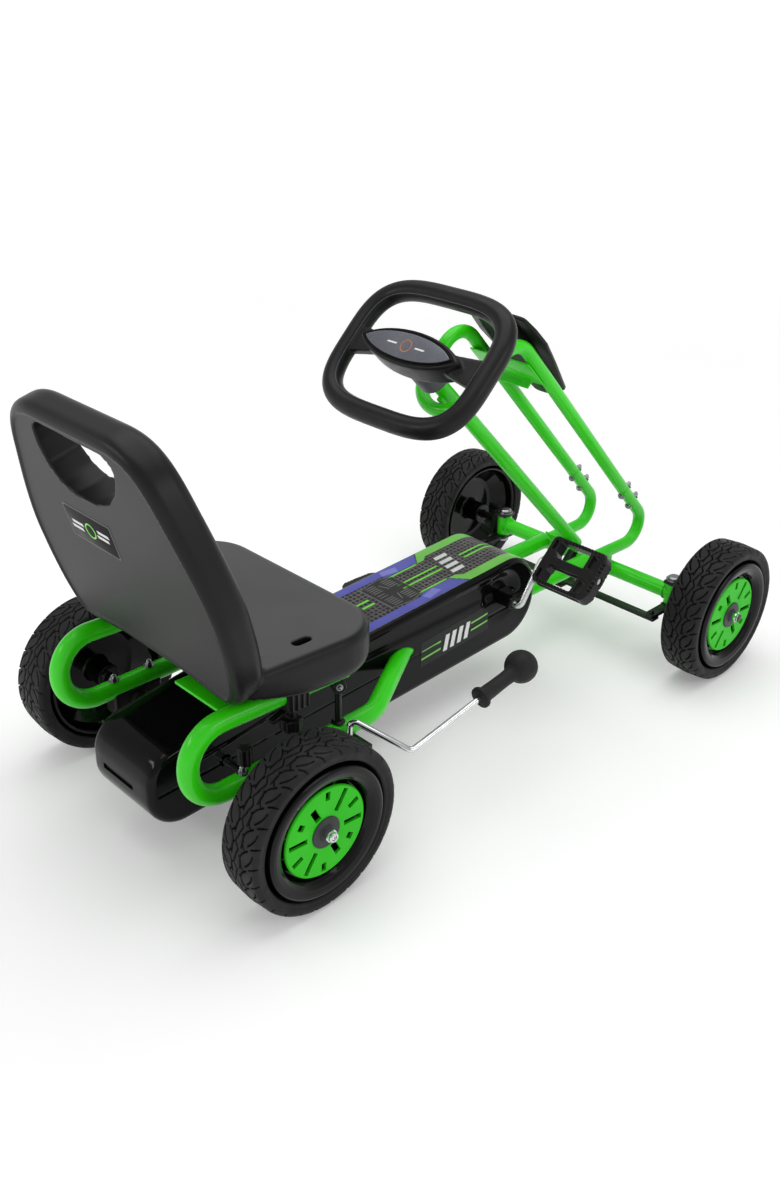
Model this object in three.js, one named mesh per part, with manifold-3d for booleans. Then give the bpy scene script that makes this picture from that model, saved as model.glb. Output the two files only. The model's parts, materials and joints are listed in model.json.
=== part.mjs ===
// Pedal go kart: tube frame, chain drive to the rear axle, kingpin steering, moulded seat and a hand brake.
// Millimetres. +Z is up, the driver looks along -Y, +X is the driver's left. The origin is on the ground,
// in the middle of the object's footprint.
import * as THREE from 'three';
import { mergeVertices } from 'three/addons/utils/BufferGeometryUtils.js';
import Module from 'manifold-3d';

const wasm = await Module();
wasm.setup();

// ---------------------------------------------------------------- driving dimensions
const WHEELBASE = 780;
const REAR_AXLE_Y = WHEELBASE / 2;
const FRONT_AXLE_Y = -WHEELBASE / 2;
const FIT_GAP = 0.4;                    // clearance between pieces that touch

const WHEEL_RADIUS = 106;
const TYRE_WIDTH = 60;
const RIM_RADIUS = 85;
const DISC_RADIUS = 58;
const REAR_WHEEL_X = 219;               // middle of the tyre
const FRONT_WHEEL_X = 250;
const WHEEL_SIDES = 36;

const TUBE_RADIUS = 12.5;
const TUBE_WALL = 1.5;
const TUBE_SIDES = 12;
const HOOP_RADIUS = 9.5;                // slimmer tube of the hoop and the hairpins under it
const MAIN_TUBE_X = 46;                 // main tubes inside the chain guard
const LOWER_RUN_X = 133;                // main tubes beside the seat
const MAIN_TUBE_Z = 131.5;
const LOOP_RADIUS = 47.3;               // rear loop, on the tube's centre line
const LOOP_CENTRE_Y = 443;
const LOOP_BOTTOM_Z = 127;

const KINGPIN_X = 172;
const BEAM_RADIUS = 12;
const BEAM_Z = 103.5;
const STEERING_ARM = 52;                // kingpin to track rod pin

const COLUMN_ANGLE = THREE.MathUtils.degToRad(44.7);   // steering axis above the horizontal
const STEERING_CENTRE = new THREE.Vector3(0, 21, 516);  // where the axis meets the wheel's plane
const COLUMN_RADIUS = 10.8;
const STEERING_SHAFT_RADIUS = 6;

const GUARD_HALF_WIDTH = 62;
const GUARD_WALL = 2.5;
const CRANK_Y = -107;
const CRANK_Z = 151;
const CRANK_THROW = 76;
const CRANK_LEAN = THREE.MathUtils.degToRad(55.7);      // crank above the forward horizontal at rest
const PEDAL_X = 150;                    // middle of the pedal
const CHAINWHEEL_TEETH = 20;
const SPROCKET_TEETH = 14;
const CHAIN_PITCH = 12.7;

const SEAT_HALF_WIDTH = 174;
const PAN_TOP_Z = 280;
const PAN_FRONT_Y = 219;

// ---------------------------------------------------------------- materials
const finish = (color, roughness, metalness = 0) =>
  new THREE.MeshStandardMaterial({ color, roughness, metalness });
const GREEN_PAINT = finish(0x3cc814, 0.3);
const GREEN_PLASTIC = finish(0x46d21e, 0.45);
const SATIN_BLACK = finish(0x2b2a2b, 0.5);
const GLOSS_BLACK = finish(0x161617, 0.2);
const BLACK_STEEL = finish(0x1c1c1d, 0.4, 0.3);
const RUBBER = finish(0x2e2d2e, 0.85);
const GREY_PLASTIC = finish(0x55555a, 0.5);
const CHROME = finish(0xd8d8da, 0.12, 1);
const CHAIN_STEEL = finish(0x6f6a62, 0.45, 0.9);

// ---------------------------------------------------------------- geometry helpers
const point = (x, y, z) => new THREE.Vector3(x, y, z);

// A route of straight runs joined by true arcs, subdivided only where it bends.
class BentRoute extends THREE.Curve {
  constructor(corners, bendRadii, stepsPerRightAngle = 5) {
    super();
    this.stations = [{ at: corners[0], along: corners[1].clone().sub(corners[0]).normalize() }];
    for (let i = 1; i < corners.length - 1; i++) {
      this.addBend(corners[i - 1], corners[i], corners[i + 1], bendRadii[i - 1], stepsPerRightAngle);
    }
    const last = corners.at(-1);
    this.stations.push({ at: last, along: last.clone().sub(corners.at(-2)).normalize() });
  }

  addBend(before, corner, after, radius, stepsPerRightAngle) {
    const inward = corner.clone().sub(before).normalize();
    const outward = after.clone().sub(corner).normalize();
    const turn = inward.angleTo(outward);
    const start = corner.clone().addScaledVector(inward, -radius * Math.tan(turn / 2));
    const side = outward.clone().addScaledVector(inward, -Math.cos(turn)).normalize();
    const steps = Math.max(2, Math.round(stepsPerRightAngle * turn / (Math.PI / 2)));
    for (let step = 0; step <= steps; step++) {
      const angle = turn * step / steps;
      const at = start.clone().addScaledVector(inward, radius * Math.sin(angle));
      at.addScaledVector(side, radius * (1 - Math.cos(angle)));
      const along = inward.clone().multiplyScalar(Math.cos(angle)).addScaledVector(side, Math.sin(angle));
      this.stations.push({ at, along });
    }
  }

  get steps() { return this.stations.length - 1; }
  station(t) { return this.stations[Math.round(t * this.steps)]; }
  getPoint(t) { return this.station(t).at.clone(); }
  getPointAt(t) { return this.getPoint(t); }
  getTangent(t) { return this.station(t).along.clone(); }
  getTangentAt(t) { return this.getTangent(t); }
  getSpacedPoints() { return this.stations.map(({ at }) => at.clone()); }
}

function signedVolume(geometry) {
  const { position } = geometry.attributes;
  const corners = [point(0, 0, 0), point(0, 0, 0), point(0, 0, 0)];
  let volume = 0;
  for (let i = 0; i < geometry.index.count; i += 3) {
    corners.forEach((corner, k) => corner.fromBufferAttribute(position, geometry.index.getX(i + k)));
    volume += corners[0].dot(corners[1].clone().cross(corners[2])) / 6;
  }
  return volume;
}

// Merge shared vertices, drop collapsed triangles and turn the faces outwards.
function closed(geometry) {
  geometry.deleteAttribute('normal');
  geometry.deleteAttribute('uv');
  const merged = mergeVertices(geometry, 1e-3);
  const kept = [];
  for (let i = 0; i < merged.index.count; i += 3) {
    const triangle = [0, 1, 2].map((k) => merged.index.getX(i + k));
    if (new Set(triangle).size === 3) kept.push(triangle);
  }
  merged.setIndex(kept.flat());
  if (signedVolume(merged) < 0) merged.setIndex(kept.map(([a, b, c]) => [a, c, b]).flat());
  return merged;
}

function toSolid(geometry) {
  const vertProperties = Float32Array.from(geometry.attributes.position.array);
  const triVerts = Uint32Array.from(geometry.index.array);
  return new wasm.Manifold(new wasm.Mesh({ numProp: 3, vertProperties, triVerts }));
}

function fromSolid(solid) {
  const { vertProperties, triVerts } = solid.getMesh();
  const geometry = new THREE.BufferGeometry();
  geometry.setAttribute('position', new THREE.BufferAttribute(Float32Array.from(vertProperties), 3));
  geometry.setIndex(Array.from(triVerts));
  return closed(geometry);
}

const join = (first, ...others) =>
  fromSolid(others.reduce((sum, other) => sum.add(toSolid(other)), toSolid(first)));
const cut = (body, ...tools) =>
  fromSolid(tools.reduce((rest, tool) => rest.subtract(toSolid(tool)), toSolid(body)));
const overlap = (first, second) => fromSolid(toSolid(first).intersect(toSolid(second)));

const box = (width, depth, height, centre) =>
  closed(new THREE.BoxGeometry(width, depth, height).translate(centre.x, centre.y, centre.z));

// Regular polygon inside a circle, or round it for the section of a hole, so that a shaft always clears.
function polygon(radius, sides, roundCircle = false) {
  const reach = roundCircle ? radius / Math.cos(Math.PI / sides) : radius;
  return new THREE.Shape(Array.from({ length: sides }, (_, i) => {
    const angle = 2 * Math.PI * (i + 0.5) / sides;
    return new THREE.Vector2(reach * Math.cos(angle), reach * Math.sin(angle));
  }));
}

// A bent tube with open ends, or a solid bar where the wall is 0.
function tube(route, radius = TUBE_RADIUS, wall = TUBE_WALL, sides = TUBE_SIDES) {
  const section = polygon(radius, sides);
  if (wall > 0) section.holes.push(polygon(radius - wall, sides));
  return closed(new THREE.ExtrudeGeometry(section, { steps: route.steps, extrudePath: route }));
}

// A straight rod between two points, and the same as a cutter for a hole.
function rod(from, to, radius, sides = 16, roundCircle = false) {
  const section = polygon(radius, sides, roundCircle);
  const geometry = new THREE.ExtrudeGeometry(section, { depth: from.distanceTo(to), bevelEnabled: false });
  const turn = new THREE.Quaternion().setFromUnitVectors(point(0, 0, 1), to.clone().sub(from).normalize());
  return closed(geometry.applyQuaternion(turn).translate(from.x, from.y, from.z));
}
const bore = (from, to, radius, sides = 16) => rod(from, to, radius, sides, true);

// A solid turned about X: the profile lists [x, radius] and closes on itself or on the axis.
function turned(profile, sides = WHEEL_SIDES) {
  const reach = 1 / Math.cos(Math.PI / sides);
  const points = profile.map(([x, radius]) => new THREE.Vector2(radius * reach, x));
  const geometry = new THREE.LatheGeometry(points, sides, Math.PI / sides);
  return closed(geometry.rotateZ(-Math.PI / 2));
}

// Extrude an outline between two heights along Z, drawn in by the inset all round, with bevelled edges.
function upwards(shape, bottom, height, bevel = 0, bevelSegments = 2, inset = 0) {
  const geometry = new THREE.ExtrudeGeometry(shape, {
    depth: height - 2 * inset - 2 * bevel,
    bevelEnabled: bevel > 0 || inset > 0,
    bevelThickness: bevel,
    bevelSize: bevel,
    bevelOffset: -bevel - inset,
    bevelSegments,
    curveSegments: 8,
  });
  return closed(geometry.translate(0, 0, bottom + inset + bevel));
}

// The same for an outline drawn in (y, z) and extruded along X, centred on x = 0.
const acrossX = (shape, width, ...edges) => closed(upwards(shape, -width / 2, width, ...edges)
  .applyMatrix4(new THREE.Matrix4().makeBasis(point(0, 1, 0), point(0, 0, 1), point(1, 0, 0))));

const kart = new THREE.Group();

function add(name, geometry, material, parent = kart) {
  const mesh = new THREE.Mesh(geometry, material);
  mesh.name = name;
  parent.add(mesh);
  return mesh;
}

const SIDES = [['left', 1], ['right', -1]];

// ---------------------------------------------------------------- frame tubes
// Everything on the steering axis is drawn in its own frame: z runs up the axis to the driver, x across the
// kart and y away from the hoop's legs, with the origin in the middle of the steering wheel.
const steeringFrame = new THREE.Group();
steeringFrame.position.copy(STEERING_CENTRE);
steeringFrame.rotation.x = COLUMN_ANGLE - Math.PI / 2;
kart.add(steeringFrame);
steeringFrame.updateMatrix();
const toKart = (geometry) => closed(geometry.clone().applyMatrix4(steeringFrame.matrix));
const toKartPoint = (x, y, z) => point(x, y, z).applyMatrix4(steeringFrame.matrix);

const HOOP_X = 49;
const HOOP_U_Z = -84;                   // height of the hoop's U along the axis
const LEG_TOP_Y = -106;                 // leg height over the axis, at the top and at the joint
const LEG_JOINT_Y = -100;
const LEG_JOINT_Z = -498.5;
const JOINT_SLIT = 1;
const HAIRPIN_RADIUS = 32;
const MAIN_TUBE_FRONT_Y = -340;         // front end of the thicker tube
const PLUG_LENGTH = 12;
const OUTLET_START_Y = 72;              // the tube leaves the guard between these two corners
const OUTLET_END_Y = 212;
const OUTLET_RADIUS = 60;
const UPPER_RUN_DROP = 5;               // fall of the upper run towards its front end
const UPPER_RUN_FRONT_Y = 262;
const upperRunZ = (y) =>
  LOOP_BOTTOM_Z + 2 * LOOP_RADIUS - UPPER_RUN_DROP * (LOOP_CENTRE_Y - y) / (LOOP_CENTRE_Y - UPPER_RUN_FRONT_Y);

const lowerRunZ = (y) => MAIN_TUBE_Z +
  (LOOP_BOTTOM_Z - MAIN_TUBE_Z) * (y - OUTLET_END_Y) / (LOOP_CENTRE_Y + LOOP_RADIUS - OUTLET_END_Y);

// The hairpin enters the thicker main tube through a short plug.
function mainTube(side) {
  const joint = toKartPoint(side * HOOP_X, LEG_JOINT_Y, LEG_JOINT_Z);
  const legTop = toKartPoint(side * HOOP_X, LEG_TOP_Y, HOOP_U_Z);
  const down = joint.clone().sub(legTop).normalize();
  const nose = joint.clone().addScaledVector(down, (joint.z - MAIN_TUBE_Z) / -down.z);
  nose.setX(side * HOOP_X).setZ(MAIN_TUBE_Z);
  const hairpin = new BentRoute([
    joint.clone().addScaledVector(down, JOINT_SLIT / 2),
    nose,
    point(side * MAIN_TUBE_X, MAIN_TUBE_FRONT_Y + PLUG_LENGTH, MAIN_TUBE_Z),
  ], [HAIRPIN_RADIUS]);
  const loopEnd = LOOP_CENTRE_Y + LOOP_RADIUS;
  const rearTube = new BentRoute([
    point(side * MAIN_TUBE_X, MAIN_TUBE_FRONT_Y, MAIN_TUBE_Z),
    point(side * MAIN_TUBE_X, OUTLET_START_Y, MAIN_TUBE_Z),
    point(side * LOWER_RUN_X, OUTLET_END_Y, MAIN_TUBE_Z),
    point(side * LOWER_RUN_X, loopEnd, LOOP_BOTTOM_Z),
    point(side * LOWER_RUN_X, loopEnd, upperRunZ(loopEnd)),
    point(side * LOWER_RUN_X, UPPER_RUN_FRONT_Y, upperRunZ(UPPER_RUN_FRONT_Y)),
  ], [OUTLET_RADIUS, OUTLET_RADIUS, LOOP_RADIUS - 0.6, LOOP_RADIUS - 1.6]);
  const plug = cut(
    rod(point(side * MAIN_TUBE_X, MAIN_TUBE_FRONT_Y, MAIN_TUBE_Z),
      point(side * MAIN_TUBE_X, MAIN_TUBE_FRONT_Y + PLUG_LENGTH / 2, MAIN_TUBE_Z), TUBE_RADIUS - TUBE_WALL / 2),
    rod(point(side * MAIN_TUBE_X, MAIN_TUBE_FRONT_Y - 1, MAIN_TUBE_Z),
      point(side * MAIN_TUBE_X, MAIN_TUBE_FRONT_Y + PLUG_LENGTH, MAIN_TUBE_Z), HOOP_RADIUS - TUBE_WALL));
  return join(tube(rearTube), tube(hairpin, HOOP_RADIUS), plug);
}

const BOSS_RADIUS = 12;
const BOSS_HEIGHT = 34;
const beamEnds = [1, -1].map((sign) => point(sign * KINGPIN_X, FRONT_AXLE_Y, BEAM_Z));
const bosses = beamEnds.map((end) => rod(
  end.clone().setZ(BEAM_Z - BOSS_HEIGHT / 2), end.clone().setZ(BEAM_Z + BOSS_HEIGHT / 2), BOSS_RADIUS));
const KINGPIN_RADIUS = 5;
const kingpinHoles = beamEnds.map((end) => bore(
  end.clone().setZ(BEAM_Z - BOSS_HEIGHT), end.clone().setZ(BEAM_Z + BOSS_HEIGHT), KINGPIN_RADIUS + FIT_GAP));
const lugTop = MAIN_TUBE_Z - HOOP_RADIUS - FIT_GAP;
const lugs = [1, -1].map((sign) =>
  box(6, 18, lugTop - BEAM_Z, point(sign * MAIN_TUBE_X, FRONT_AXLE_Y, (lugTop + BEAM_Z) / 2)));
add('front_axle_beam', cut(join(rod(...beamEnds, BEAM_RADIUS, TUBE_SIDES), ...bosses, ...lugs), ...kingpinHoles),
  GREEN_PAINT);

// Steering column tube, its foot bracket across the main tubes, and the hoop that cradles it.
const COLUMN_TOP_Z = -52;
const COLUMN_FOOT_Z = -541;
const COLUMN_BORE = 8;
const HOOP_U_Y = 26.5;                  // the U passes behind the column, welded on through a block
const WELD_HEIGHT = HOOP_U_Y - HOOP_RADIUS - 1.2;
const weldBlock = box(8, WELD_HEIGHT, 12, point(0, WELD_HEIGHT / 2, HOOP_U_Z));
add('steering_column_tube', cut(
  join(rod(point(0, 0, COLUMN_FOOT_Z), point(0, 0, COLUMN_TOP_Z), COLUMN_RADIUS), weldBlock),
  bore(point(0, 0, COLUMN_FOOT_Z - 1), point(0, 0, COLUMN_TOP_Z + 1), COLUMN_BORE)), GREEN_PAINT, steeringFrame);

const hoopRoute = new BentRoute([
  point(HOOP_X, LEG_JOINT_Y, LEG_JOINT_Z + JOINT_SLIT / 2),
  point(HOOP_X, LEG_TOP_Y, HOOP_U_Z),
  point(HOOP_X, HOOP_U_Y, HOOP_U_Z),
  point(-HOOP_X, HOOP_U_Y, HOOP_U_Z),
  point(-HOOP_X, LEG_TOP_Y, HOOP_U_Z),
  point(-HOOP_X, LEG_JOINT_Y, LEG_JOINT_Z + JOINT_SLIT / 2),
], [40, HOOP_X - 0.01, HOOP_X - 0.01, 40]);
add('steering_hoop', tube(hoopRoute, HOOP_RADIUS), GREEN_PAINT, steeringFrame);

// Folded plate under the hoop's legs, and the shield in front of them.
const BRACKET_PLATE = 2.5;
const BRACKET_Z = -160;
const BRACKET_HEIGHT = 50;
const legY = (z) => LEG_TOP_Y + (LEG_JOINT_Y - LEG_TOP_Y) * (z - HOOP_U_Z) / (LEG_JOINT_Z - HOOP_U_Z);
const bracketY = legY(BRACKET_Z) + HOOP_RADIUS + 2 * FIT_GAP;
add('hoop_cross_bracket', join(
  box(2 * HOOP_X + 8, BRACKET_PLATE, BRACKET_HEIGHT, point(0, bracketY + BRACKET_PLATE / 2, BRACKET_Z)),
  box(2 * HOOP_X - 30, 14, BRACKET_PLATE,
    point(0, bracketY + 7, BRACKET_Z - (BRACKET_HEIGHT - BRACKET_PLATE) / 2))),
GREEN_PAINT, steeringFrame);

// Shield: a plate with chamfered edges on a smaller block that stands on the hoop's legs.
const SHIELD_PLATE = 6;
const SHIELD_STANDOFF = 10;
const shieldHalf = [[33, -81], [49, -82.5], [57, -107], [60, -138], [50, -188], [32, -263]];
function shieldPlate(scaleX, thickness, bevel, y) {
  const half = shieldHalf.map(([x, z]) => new THREE.Vector2(scaleX * x, z));
  const mirrored = half.map(({ x, y: z }) => new THREE.Vector2(-x, z)).reverse();
  const plate = upwards(new THREE.Shape([...half, ...mirrored]), 0, thickness, bevel, 1);
  return closed(plate.rotateX(Math.PI / 2).translate(0, y, 0));
}
const shieldY = LEG_TOP_Y - HOOP_RADIUS - FIT_GAP;
add('front_shield', join(
  shieldPlate(1, SHIELD_PLATE, 2, shieldY - SHIELD_STANDOFF),
  shieldPlate(0.5, SHIELD_STANDOFF + SHIELD_PLATE / 2, 0, shieldY)), SATIN_BLACK, steeringFrame);

const FOOT_PLATE = 3;
const footWidth = 2 * (MAIN_TUBE_X - TUBE_RADIUS - FIT_GAP);
add('column_foot_bracket',
  box(footWidth, FOOT_PLATE, 42, point(0, COLUMN_RADIUS + FIT_GAP + FOOT_PLATE / 2, COLUMN_FOOT_Z + 22)),
  GREEN_PAINT, steeringFrame);

// Bolts through each joint between the hoop's legs and the hairpins.
const JOINT_BOLT_RADIUS = 3;
const JOINT_BOLT_STEPS = [10, 43];      // below the slit, along the leg
const BOLT_HEAD_RADIUS = 5;
const BOLT_HEAD_HEIGHT = 4;
const legDirection = point(0, LEG_JOINT_Y - LEG_TOP_Y, LEG_JOINT_Z - HOOP_U_Z).normalize();
const acrossLeg = point(0, -legDirection.z, legDirection.y);

function jointBoltAxis(sign, step) {
  const middle = point(sign * HOOP_X, LEG_JOINT_Y, LEG_JOINT_Z).addScaledVector(legDirection, step);
  const reach = HOOP_RADIUS + FIT_GAP;
  return [middle.clone().addScaledVector(acrossLeg, -reach), middle.clone().addScaledVector(acrossLeg, reach)];
}

function jointBolt(from, to) {
  const outward = to.clone().sub(from).normalize();
  const headEnd = to.clone().addScaledVector(outward, BOLT_HEAD_HEIGHT);
  const nutEnd = from.clone().addScaledVector(outward, -BOLT_HEAD_HEIGHT - 2);
  return join(rod(nutEnd, headEnd, JOINT_BOLT_RADIUS, 8), rod(to, headEnd, BOLT_HEAD_RADIUS, 10),
    rod(nutEnd, from, BOLT_HEAD_RADIUS, 6));
}

for (const [side, sign] of SIDES) {
  const boltHoles = JOINT_BOLT_STEPS.map((step, i) => {
    const [from, to] = jointBoltAxis(sign, step);
    add(`hairpin_bolt_${side}_${i + 1}`, jointBolt(from, to), CHROME, steeringFrame);
    return toKart(bore(from, to, JOINT_BOLT_RADIUS + FIT_GAP, 8));
  });
  add(`frame_tube_${side}`, cut(mainTube(sign), ...boltHoles), GREEN_PAINT);
}

// Plate welded to the right upper run, reaching in over the chain guard.
const SADDLE_Y = 414;
const SADDLE_INNER_X = 32;
const SADDLE_OUTER_X = LOWER_RUN_X - TUBE_RADIUS - FIT_GAP;
add('saddle_plate', box(SADDLE_OUTER_X - SADDLE_INNER_X, 40, 4,
  point(-(SADDLE_OUTER_X + SADDLE_INNER_X) / 2, SADDLE_Y, upperRunZ(SADDLE_Y))), GREEN_PAINT);

// ---------------------------------------------------------------- chain guard
const GUARD_FRONT_Y = -187;
const GUARD_REAR_Y = 497;
const GUARD_KNEE_Y = 300;               // the top falls more steeply behind here
const GUARD_REAR_TOP_Z = 146;
const guardTopZ = (y) => 196 - 0.062 * y;
const guardBottomZ = (y) => 67 - 0.046 * y;
const SEAM_SLOPE = 0.06;
const SEAM_Z = 117;                     // seam height at y = 0

// A polygon whose corners are rounded by true arcs.
function roundedOutline(corners, radii, steps = 5) {
  const points = [];
  corners.forEach(([x, y], i) => {
    const corner = new THREE.Vector2(x, y);
    const before = new THREE.Vector2(...corners.at(i - 1)).sub(corner).normalize();
    const after = new THREE.Vector2(...corners[(i + 1) % corners.length]).sub(corner).normalize();
    const half = Math.acos(before.dot(after)) / 2;
    const middle = before.clone().add(after).normalize();
    const centre = corner.clone().addScaledVector(middle, radii[i] / Math.sin(half));
    const start = corner.clone().addScaledVector(before, radii[i] / Math.tan(half)).sub(centre);
    const sweep = (Math.PI - 2 * half) * Math.sign(after.cross(before));
    for (let step = 0; step <= steps; step++) {
      points.push(start.clone().rotateAround(new THREE.Vector2(0, 0), sweep * step / steps).add(centre));
    }
  });
  return new THREE.Shape(points);
}

const guardOutline = roundedOutline([
  [GUARD_FRONT_Y, guardBottomZ(GUARD_FRONT_Y)],
  [GUARD_REAR_Y, guardBottomZ(GUARD_REAR_Y)],
  [GUARD_REAR_Y, GUARD_REAR_TOP_Z],
  [GUARD_KNEE_Y, guardTopZ(GUARD_KNEE_Y)],
  [GUARD_FRONT_Y, guardTopZ(GUARD_FRONT_Y)],
], [60, 60, 42, 400, 62]);

// Everything above or below the seam plane, as one large block.
function seamBlock(direction) {
  const size = 1200;
  const block = new THREE.BoxGeometry(size, size, size).translate(0, 0, direction * (size + FIT_GAP) / 2);
  return closed(block.rotateX(-Math.atan(SEAM_SLOPE)).translate(0, 0, SEAM_Z));
}

const outletRoute = (sign) => new BentRoute([
  point(sign * MAIN_TUBE_X, 20, MAIN_TUBE_Z),
  point(sign * MAIN_TUBE_X, OUTLET_START_Y, MAIN_TUBE_Z),
  point(sign * LOWER_RUN_X, OUTLET_END_Y, MAIN_TUBE_Z),
], [OUTLET_RADIUS]);
const GUARD_CLEARANCE = 0.7;
const SLEEVE_RADIUS = 15;
const AXLE_RADIUS = 6;
const guardCutters = [1, -1].flatMap((sign) => [
  tube(outletRoute(sign), TUBE_RADIUS + GUARD_CLEARANCE + 0.3, 0),
  bore(point(sign * MAIN_TUBE_X, -230, MAIN_TUBE_Z), point(sign * MAIN_TUBE_X, -100, MAIN_TUBE_Z),
    TUBE_RADIUS + GUARD_CLEARANCE, TUBE_SIDES),
]);
guardCutters.push(
  bore(point(-70, CRANK_Y, CRANK_Z), point(70, CRANK_Y, CRANK_Z), SLEEVE_RADIUS + GUARD_CLEARANCE, 20),
  bore(point(-70, REAR_AXLE_Y, WHEEL_RADIUS), point(70, REAR_AXLE_Y, WHEEL_RADIUS), AXLE_RADIUS + 2, 12));

const GUARD_EDGE = 10;                  // rounding of the guard's long edges
const guardOuter = acrossX(guardOutline, 2 * GUARD_HALF_WIDTH, GUARD_EDGE, 2, 0);
const guardInner = acrossX(guardOutline, 2 * GUARD_HALF_WIDTH, GUARD_EDGE - GUARD_WALL, 2, GUARD_WALL);
const guardShell = cut(guardOuter, guardInner, ...guardCutters);
add('chain_guard_upper', overlap(guardShell, seamBlock(1)), GLOSS_BLACK);
add('chain_guard_lower', overlap(guardShell, seamBlock(-1)), GLOSS_BLACK);

// ---------------------------------------------------------------- crank, chain and rear axle
const CRANK_RADIUS = 5;
const CRANK_ARM_X = 98;
const SLEEVE_END_X = 92;
const BORE_GAP = 0.4;
const pedalAt = (sign) => point(sign * PEDAL_X,
  CRANK_Y + sign * CRANK_THROW * Math.cos(CRANK_LEAN), CRANK_Z - sign * CRANK_THROW * Math.sin(CRANK_LEAN));
const PEDAL_LENGTH = 90;
const PEDAL_DEPTH = 70;
const PEDAL_HEIGHT = 22;
const spindleEnd = PEDAL_X + PEDAL_LENGTH / 2 + 2;
const crankRoute = new BentRoute([
  pedalAt(1).setX(spindleEnd),
  pedalAt(1).setX(CRANK_ARM_X),
  point(CRANK_ARM_X, CRANK_Y, CRANK_Z),
  point(-CRANK_ARM_X, CRANK_Y, CRANK_Z),
  pedalAt(-1).setX(-CRANK_ARM_X),
  pedalAt(-1).setX(-spindleEnd),
], [7, 7, 7, 7]);
add('crank', tube(crankRoute, CRANK_RADIUS, 0, 10), CHROME);

const crankBore = bore(point(-110, CRANK_Y, CRANK_Z), point(110, CRANK_Y, CRANK_Z), CRANK_RADIUS + BORE_GAP, 12);
for (const [side, sign] of SIDES) {
  const seat = box(22, 26, 18, point(sign * MAIN_TUBE_X, CRANK_Y, MAIN_TUBE_Z + TUBE_RADIUS + FIT_GAP + 9));
  const sleeve = rod(point(sign * (MAIN_TUBE_X + TUBE_RADIUS + 0.7), CRANK_Y, CRANK_Z),
    point(sign * SLEEVE_END_X, CRANK_Y, CRANK_Z), SLEEVE_RADIUS, 20);
  const neck = rod(point(sign * MAIN_TUBE_X, CRANK_Y, CRANK_Z + 3), point(sign * 62, CRANK_Y, CRANK_Z + 3), 8, 12);
  add(`crank_bearing_${side}`, cut(join(seat, neck, sleeve), crankBore), SATIN_BLACK);
}

const pitchRadius = (teeth) => CHAIN_PITCH / (2 * Math.sin(Math.PI / teeth));
const TOOTH_DEPTH = 4;
const CHAIN_HALF_HEIGHT = 4;

function toothedWheel(teeth, boreRadius) {
  const tip = pitchRadius(teeth) - CHAIN_HALF_HEIGHT / 2 - FIT_GAP;
  const root = tip - TOOTH_DEPTH;
  const outline = Array.from({ length: teeth }, (_, i) => [
    [root, i - 0.3], [tip, i - 0.12], [tip, i + 0.12], [root, i + 0.3],
  ]).flat().map(([radius, place]) => {
    const angle = 2 * Math.PI * place / teeth;
    return new THREE.Vector2(radius * Math.cos(angle), radius * Math.sin(angle));
  });
  const shape = new THREE.Shape(outline);
  shape.holes.push(polygon(boreRadius + BORE_GAP, 12, true));
  return acrossX(shape, 3);
}
const chainwheel = add('chainwheel', toothedWheel(CHAINWHEEL_TEETH, CRANK_RADIUS), CHAIN_STEEL);
chainwheel.position.set(0, CRANK_Y, CRANK_Z);
const sprocket = add('axle_sprocket', toothedWheel(SPROCKET_TEETH, AXLE_RADIUS), CHAIN_STEEL);
sprocket.position.set(0, REAR_AXLE_Y, WHEEL_RADIUS);

// Chain loop: the outer tangents of two circles, as one band lying just outside the teeth.
function chainOutline(offset) {
  const front = new THREE.Vector2(CRANK_Y, CRANK_Z);
  const rear = new THREE.Vector2(REAR_AXLE_Y, WHEEL_RADIUS);
  const radii = [pitchRadius(CHAINWHEEL_TEETH), pitchRadius(SPROCKET_TEETH)];
  const line = rear.clone().sub(front);
  const lean = Math.acos((radii[0] - radii[1]) / line.length());
  const wheelArc = (centre, radius, from, to) => Array.from({ length: 13 }, (_, i) => {
    const angle = line.angle() + from + (to - from) * i / 12;
    return new THREE.Vector2(Math.cos(angle), Math.sin(angle)).multiplyScalar(radius + offset).add(centre);
  });
  return [...wheelArc(front, radii[0], lean, 2 * Math.PI - lean), ...wheelArc(rear, radii[1], -lean, lean)];
}
const chainShape = new THREE.Shape(chainOutline(CHAIN_HALF_HEIGHT));
chainShape.holes.push(new THREE.Path(chainOutline(-CHAIN_HALF_HEIGHT / 2 + FIT_GAP)));
add('drive_chain', acrossX(chainShape, 8), CHAIN_STEEL);

const AXLE_END_X = REAR_WHEEL_X + 40;
add('rear_axle', rod(point(-AXLE_END_X, REAR_AXLE_Y, WHEEL_RADIUS), point(AXLE_END_X, REAR_AXLE_Y, WHEEL_RADIUS),
  AXLE_RADIUS, 16), CHROME);
for (const [side, sign] of SIDES) {
  const bottom = WHEEL_RADIUS - 17;
  const top = MAIN_TUBE_Z + TUBE_RADIUS + 5;
  const block = box(26, 70, top - bottom, point(sign * LOWER_RUN_X, REAR_AXLE_Y, (top + bottom) / 2));
  const tubeWay = bore(point(sign * LOWER_RUN_X, 300, lowerRunZ(300)),
    point(sign * LOWER_RUN_X, 480, lowerRunZ(480)), TUBE_RADIUS + BORE_GAP, TUBE_SIDES);
  const axleWay = bore(point(sign * 100, REAR_AXLE_Y, WHEEL_RADIUS), point(sign * 160, REAR_AXLE_Y, WHEEL_RADIUS),
    AXLE_RADIUS + BORE_GAP, 16);
  add(`axle_bearing_${side}`, cut(block, tubeWay, axleWay), SATIN_BLACK);
}

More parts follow.
